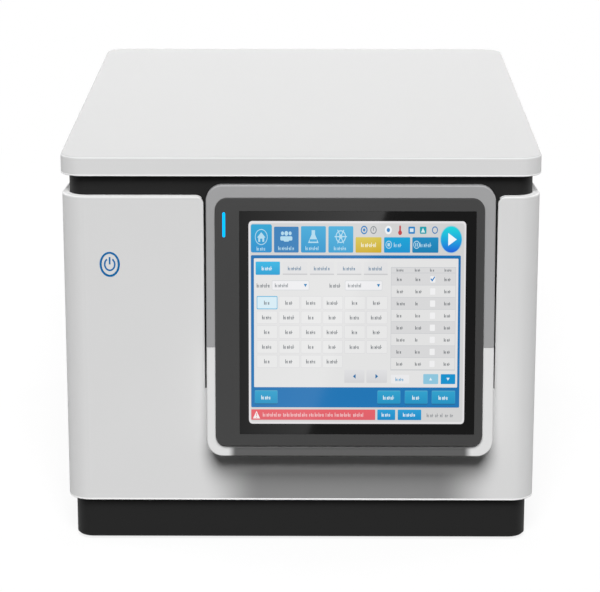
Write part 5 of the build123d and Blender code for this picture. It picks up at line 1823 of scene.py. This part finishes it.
    def data_contacts(self) -> None:
        """Sets the tongues and the gilt contacts into the three data sockets."""
        shape = Shape("data_contacts").dress(BLACK_PLASTIC)
        back = self.face_y + self.data_skin - self.data_depth
        x_square, x_wide, x_flat = (self.data_x + offset for offset in self.data_sockets)
        for x, tongue, length in (
            (x_square, self.square_tongue, self.square_length),
            (x_wide, self.wide_tongue, self.wide_length),
        ):
            shape.prism(oblong(*tongue), 0.0, length, rear_frame(x, back, self.data_z), self.tongue_chamfer)
        shape.dress(CONTACT_GOLD)
        for place in range(self.fingers):
            x = x_wide + (place - (self.fingers - 1) / 2) * self.finger_pitch
            shape.prism(oblong(*self.finger), 0.0, self.finger_length, rear_frame(x, back, self.data_z))
        for row, count in self.pin_rows:
            for place in range(count):
                x = x_flat + (place - (count - 1) / 2) * self.pin_pitch
                shape.lathe(self.pin_profile, rear_frame(x, back, self.data_z + row), self.pin_facets)
        shape.finish("base")


# ---------------------------------------------------------------- units on the base
@dataclass
class InnerUnits:
    """The pump, the control board and the power supply inside the case."""

    def build(self) -> None:
        """Dresses the units."""
        coat_nodes({"power_supply": UNIT_GREY, "control_board": LAMINATE, "fluid_pump": UNIT_GREY})


# ---------------------------------------------------------------- studio
@dataclass(frozen=True)
class Softbox:
    """A far softbox, given by the side that it stands on.

    Attributes:
        name: What it is called.
        azimuth: Its side in degrees, 0 in front and 90 to the right.
        elevation: Its height over the bench in degrees.
        spread: The angle that it fills, in degrees.
        strength: Its light on a sheet that faces it, in watts per square metre.
    """

    name: str
    azimuth: float
    elevation: float
    spread: float
    strength: float


@dataclass
class Studio:
    """The pale floor, the softboxes round the object, two reflection cards and the camera."""

    camera_at: Point = (0.0177, -3.0561, 1.0461)
    camera_down: float = 74.59
    camera_side: float = 0.389
    lens: float = 151.3
    sensor: float = 36.0
    view_limit: float = 100.0
    softboxes: tuple[Softbox, ...] = (
        Softbox("key", azimuth=0.0, elevation=45.0, spread=30.0, strength=3.95),
        Softbox("left", azimuth=-118.0, elevation=7.0, spread=30.0, strength=1.5),
        Softbox("right", azimuth=118.0, elevation=7.0, spread=30.0, strength=1.5),
        Softbox("rear", azimuth=180.0, elevation=10.0, spread=30.0, strength=0.5),
    )
    lamp_distance: float = 4.0
    fill: float = 0.05
    floor_hex: str = "454545"
    floor_pale: float = 0.95
    floor_shade: float = 0.16
    shade_reach: float = 1.1
    shade_fade: float = 0.8
    floor_reach: float = 30.0
    card_depth: float = -1.2
    card_side: float = 1.6
    card_top: float = 0.46
    seam_low: float = -0.0114
    seam_top: float = 0.148
    grade_half: float = 0.13
    grade_dim: float = 0.22
    grade_bright: float = 1.25
    dark_glow: float = 0.08

    def build(self) -> None:
        """Sets up camera, lamps, world, floor and the reflection cards."""
        self.camera()
        for softbox in self.softboxes:
            self.lamp(softbox)
        self.world()
        self.floor()
        self.cards()
        bpy.context.scene.view_settings.view_transform = "Standard"

    def camera(self) -> None:
        """Places the camera."""
        data = bpy.data.cameras.new("camera")
        data.lens = self.lens
        data.sensor_width = self.sensor
        data.clip_end = self.view_limit
        view = bpy.data.objects.new("camera", data)
        view.location = self.camera_at
        view.rotation_euler = (math.radians(self.camera_down), 0.0, math.radians(self.camera_side))
        bpy.context.scene.collection.objects.link(view)
        bpy.context.scene.camera = view

    def lamp(self, softbox: Softbox) -> None:
        """Hangs one softbox, far enough that its light is even.

        Args:
            softbox: Where it stands and how strong it is.
        """
        data = bpy.data.lights.new(softbox.name, "SUN")
        data.energy = softbox.strength
        data.angle = math.radians(softbox.spread)
        lamp = bpy.data.objects.new(softbox.name, data)
        up = math.radians(softbox.elevation)
        side = math.radians(softbox.azimuth)
        way = Vector((math.sin(side) * math.cos(up), -math.cos(side) * math.cos(up), math.sin(up)))
        lamp.location = way * self.lamp_distance
        lamp.rotation_euler = way.to_track_quat("Z", "Y").to_euler()
        bpy.context.scene.collection.objects.link(lamp)

    def seen(self, tree: bpy.types.NodeTree) -> bpy.types.NodeSocket:
        """Whether a ray comes from the camera, a gloss or a clear material.

        Args:
            tree: The node tree that asks.

        Returns:
            A socket that is 1 for such a ray.
        """
        path = add_node(tree, "ShaderNodeLightPath")
        either = add_node(
            tree,
            "ShaderNodeMath",
            {0: path.outputs["Is Camera Ray"], 1: path.outputs["Is Glossy Ray"]},
            operation="MAXIMUM",
        )
        every = add_node(
            tree,
            "ShaderNodeMath",
            {0: either.outputs[0], 1: path.outputs["Is Transmission Ray"]},
            operation="MAXIMUM",
        )
        return every.outputs[0]

    def world(self) -> None:
        """White to the eye and in reflections, and a weak fill for the rest."""
        world = bpy.data.worlds.new("studio")
        bpy.context.scene.world = world
        world.use_nodes = True
        tree = world.node_tree
        tree.nodes.clear()
        strength = add_node(
            tree, "ShaderNodeMapRange", {"Value": self.seen(tree), "To Min": self.fill, "To Max": 1.0}
        )
        back = add_node(tree, "ShaderNodeBackground", {"Color": WHITE, "Strength": strength.outputs[0]})
        add_node(tree, "ShaderNodeOutputWorld", {"Surface": back.outputs[0]})

    def floor(self) -> None:
        """A wide floor that looks white and keeps the object's shadow near it."""
        made = bare_material("studio_floor")
        tree = made.node_tree
        pale_colour = (self.floor_pale, self.floor_pale, self.floor_pale, 1.0)
        plain = add_node(tree, "ShaderNodeBsdfDiffuse", {"Color": linear(self.floor_hex)})
        pale = add_node(tree, "ShaderNodeBsdfDiffuse", {"Color": pale_colour})
        glow = add_node(tree, "ShaderNodeEmission", {"Color": WHITE, "Strength": 1.0})
        place = add_node(tree, "ShaderNodeTexCoord").outputs["Object"]
        away = add_node(tree, "ShaderNodeVectorMath", {0: place}, operation="LENGTH")
        near = add_node(
            tree,
            "ShaderNodeMapRange",
            {
                "Value": away.outputs["Value"],
                "From Min": self.shade_reach,
                "From Max": self.shade_reach + self.shade_fade,
                "To Min": self.floor_shade,
                "To Max": 0.0,
            },
        )
        white = add_node(
            tree, "ShaderNodeMixShader", {0: near.outputs[0], 1: glow.outputs[0], 2: pale.outputs[0]}
        )
        both = add_node(
            tree, "ShaderNodeMixShader", {0: self.seen(tree), 1: plain.outputs[0], 2: white.outputs[0]}
        )
        add_node(tree, "ShaderNodeOutputMaterial", {"Surface": both.outputs[0]})
        reach = self.floor_reach
        ground = self.sheet("floor", [(x, y, 0.0) for x, y in oblong(-reach, -reach, reach, reach)], made)

    def sheet(self, name: str, corners: Sequence[Point], made: bpy.types.Material) -> bpy.types.Object:
        """A flat four-cornered sheet of the studio.

        Args:
            name: Its name.
            corners: Its corners in metres.
            made: Its material.

        Returns:
            The sheet.
        """
        data = bpy.data.meshes.new(name)
        data.from_pydata(corners, [], [(0, 1, 2, 3)])
        data.materials.append(made)
        laid = bpy.data.objects.new(name, data)
        bpy.context.scene.collection.objects.link(laid)
        return laid

    def cards(self) -> None:
        """Two cards in front that show in gloss only, a graded and a dark one, with a slanted seam."""
        side, top = self.card_side, self.card_top
        low_end, top_end = (self.seam_low, 0.0), (self.seam_top, top)
        for name, graded, outline in (
            ("graded", True, ((-side, 0.0), low_end, top_end, (-side, top))),
            ("dark", False, (low_end, (side, 0.0), (side, top), top_end)),
        ):
            corners = [(x, self.card_depth, z) for x, z in outline]
            card = self.sheet(name + "_card", corners, self.card_light("studio_card_" + name, graded))
            for ray in ("camera", "diffuse", "transmission", "volume_scatter", "shadow"):
                setattr(card, "visible_" + ray, False)

    def card_light(self, name: str, graded: bool) -> bpy.types.Material:
        """A glowing sheet, even and dim, or brighter from left to right.

        Args:
            name: The material's name.
            graded: Makes it brighten to the right.

        Returns:
            The material.
        """
        made = bare_material(name)
        tree = made.node_tree
        strength: Linked = self.dark_glow
        if graded:
            place = add_node(tree, "ShaderNodeTexCoord").outputs["Object"]
            across = add_node(tree, "ShaderNodeSeparateXYZ", {0: place})
            strength = add_node(
                tree,
                "ShaderNodeMapRange",
                {
                    "Value": across.outputs["X"],
                    "From Min": -self.grade_half,
                    "From Max": self.grade_half,
                    "To Min": self.grade_dim,
                    "To Max": self.grade_bright,
                },
            ).outputs[0]
        glow = add_node(tree, "ShaderNodeEmission", {"Color": WHITE, "Strength": strength})
        add_node(tree, "ShaderNodeOutputMaterial", {"Surface": glow.outputs[0]})
        return made


def main() -> None:
    """Builds the dressed analyzer and its studio in order."""
    logging.basicConfig(level=logging.INFO, format="%(name)s %(message)s")
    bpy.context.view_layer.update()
    pod = ScreenPod()
    parts = (
        Case(),
        PowerButton(),
        pod,
        ScreenPicture(pod),
        Lid(),
        WorkDeck(),
        RearFittings(),
        InnerUnits(),
        Studio(),
    )
    for part in parts:
        part.build()
        LOG.info("%s built", type(part).__name__)


if __name__ == "__main__":
    main()
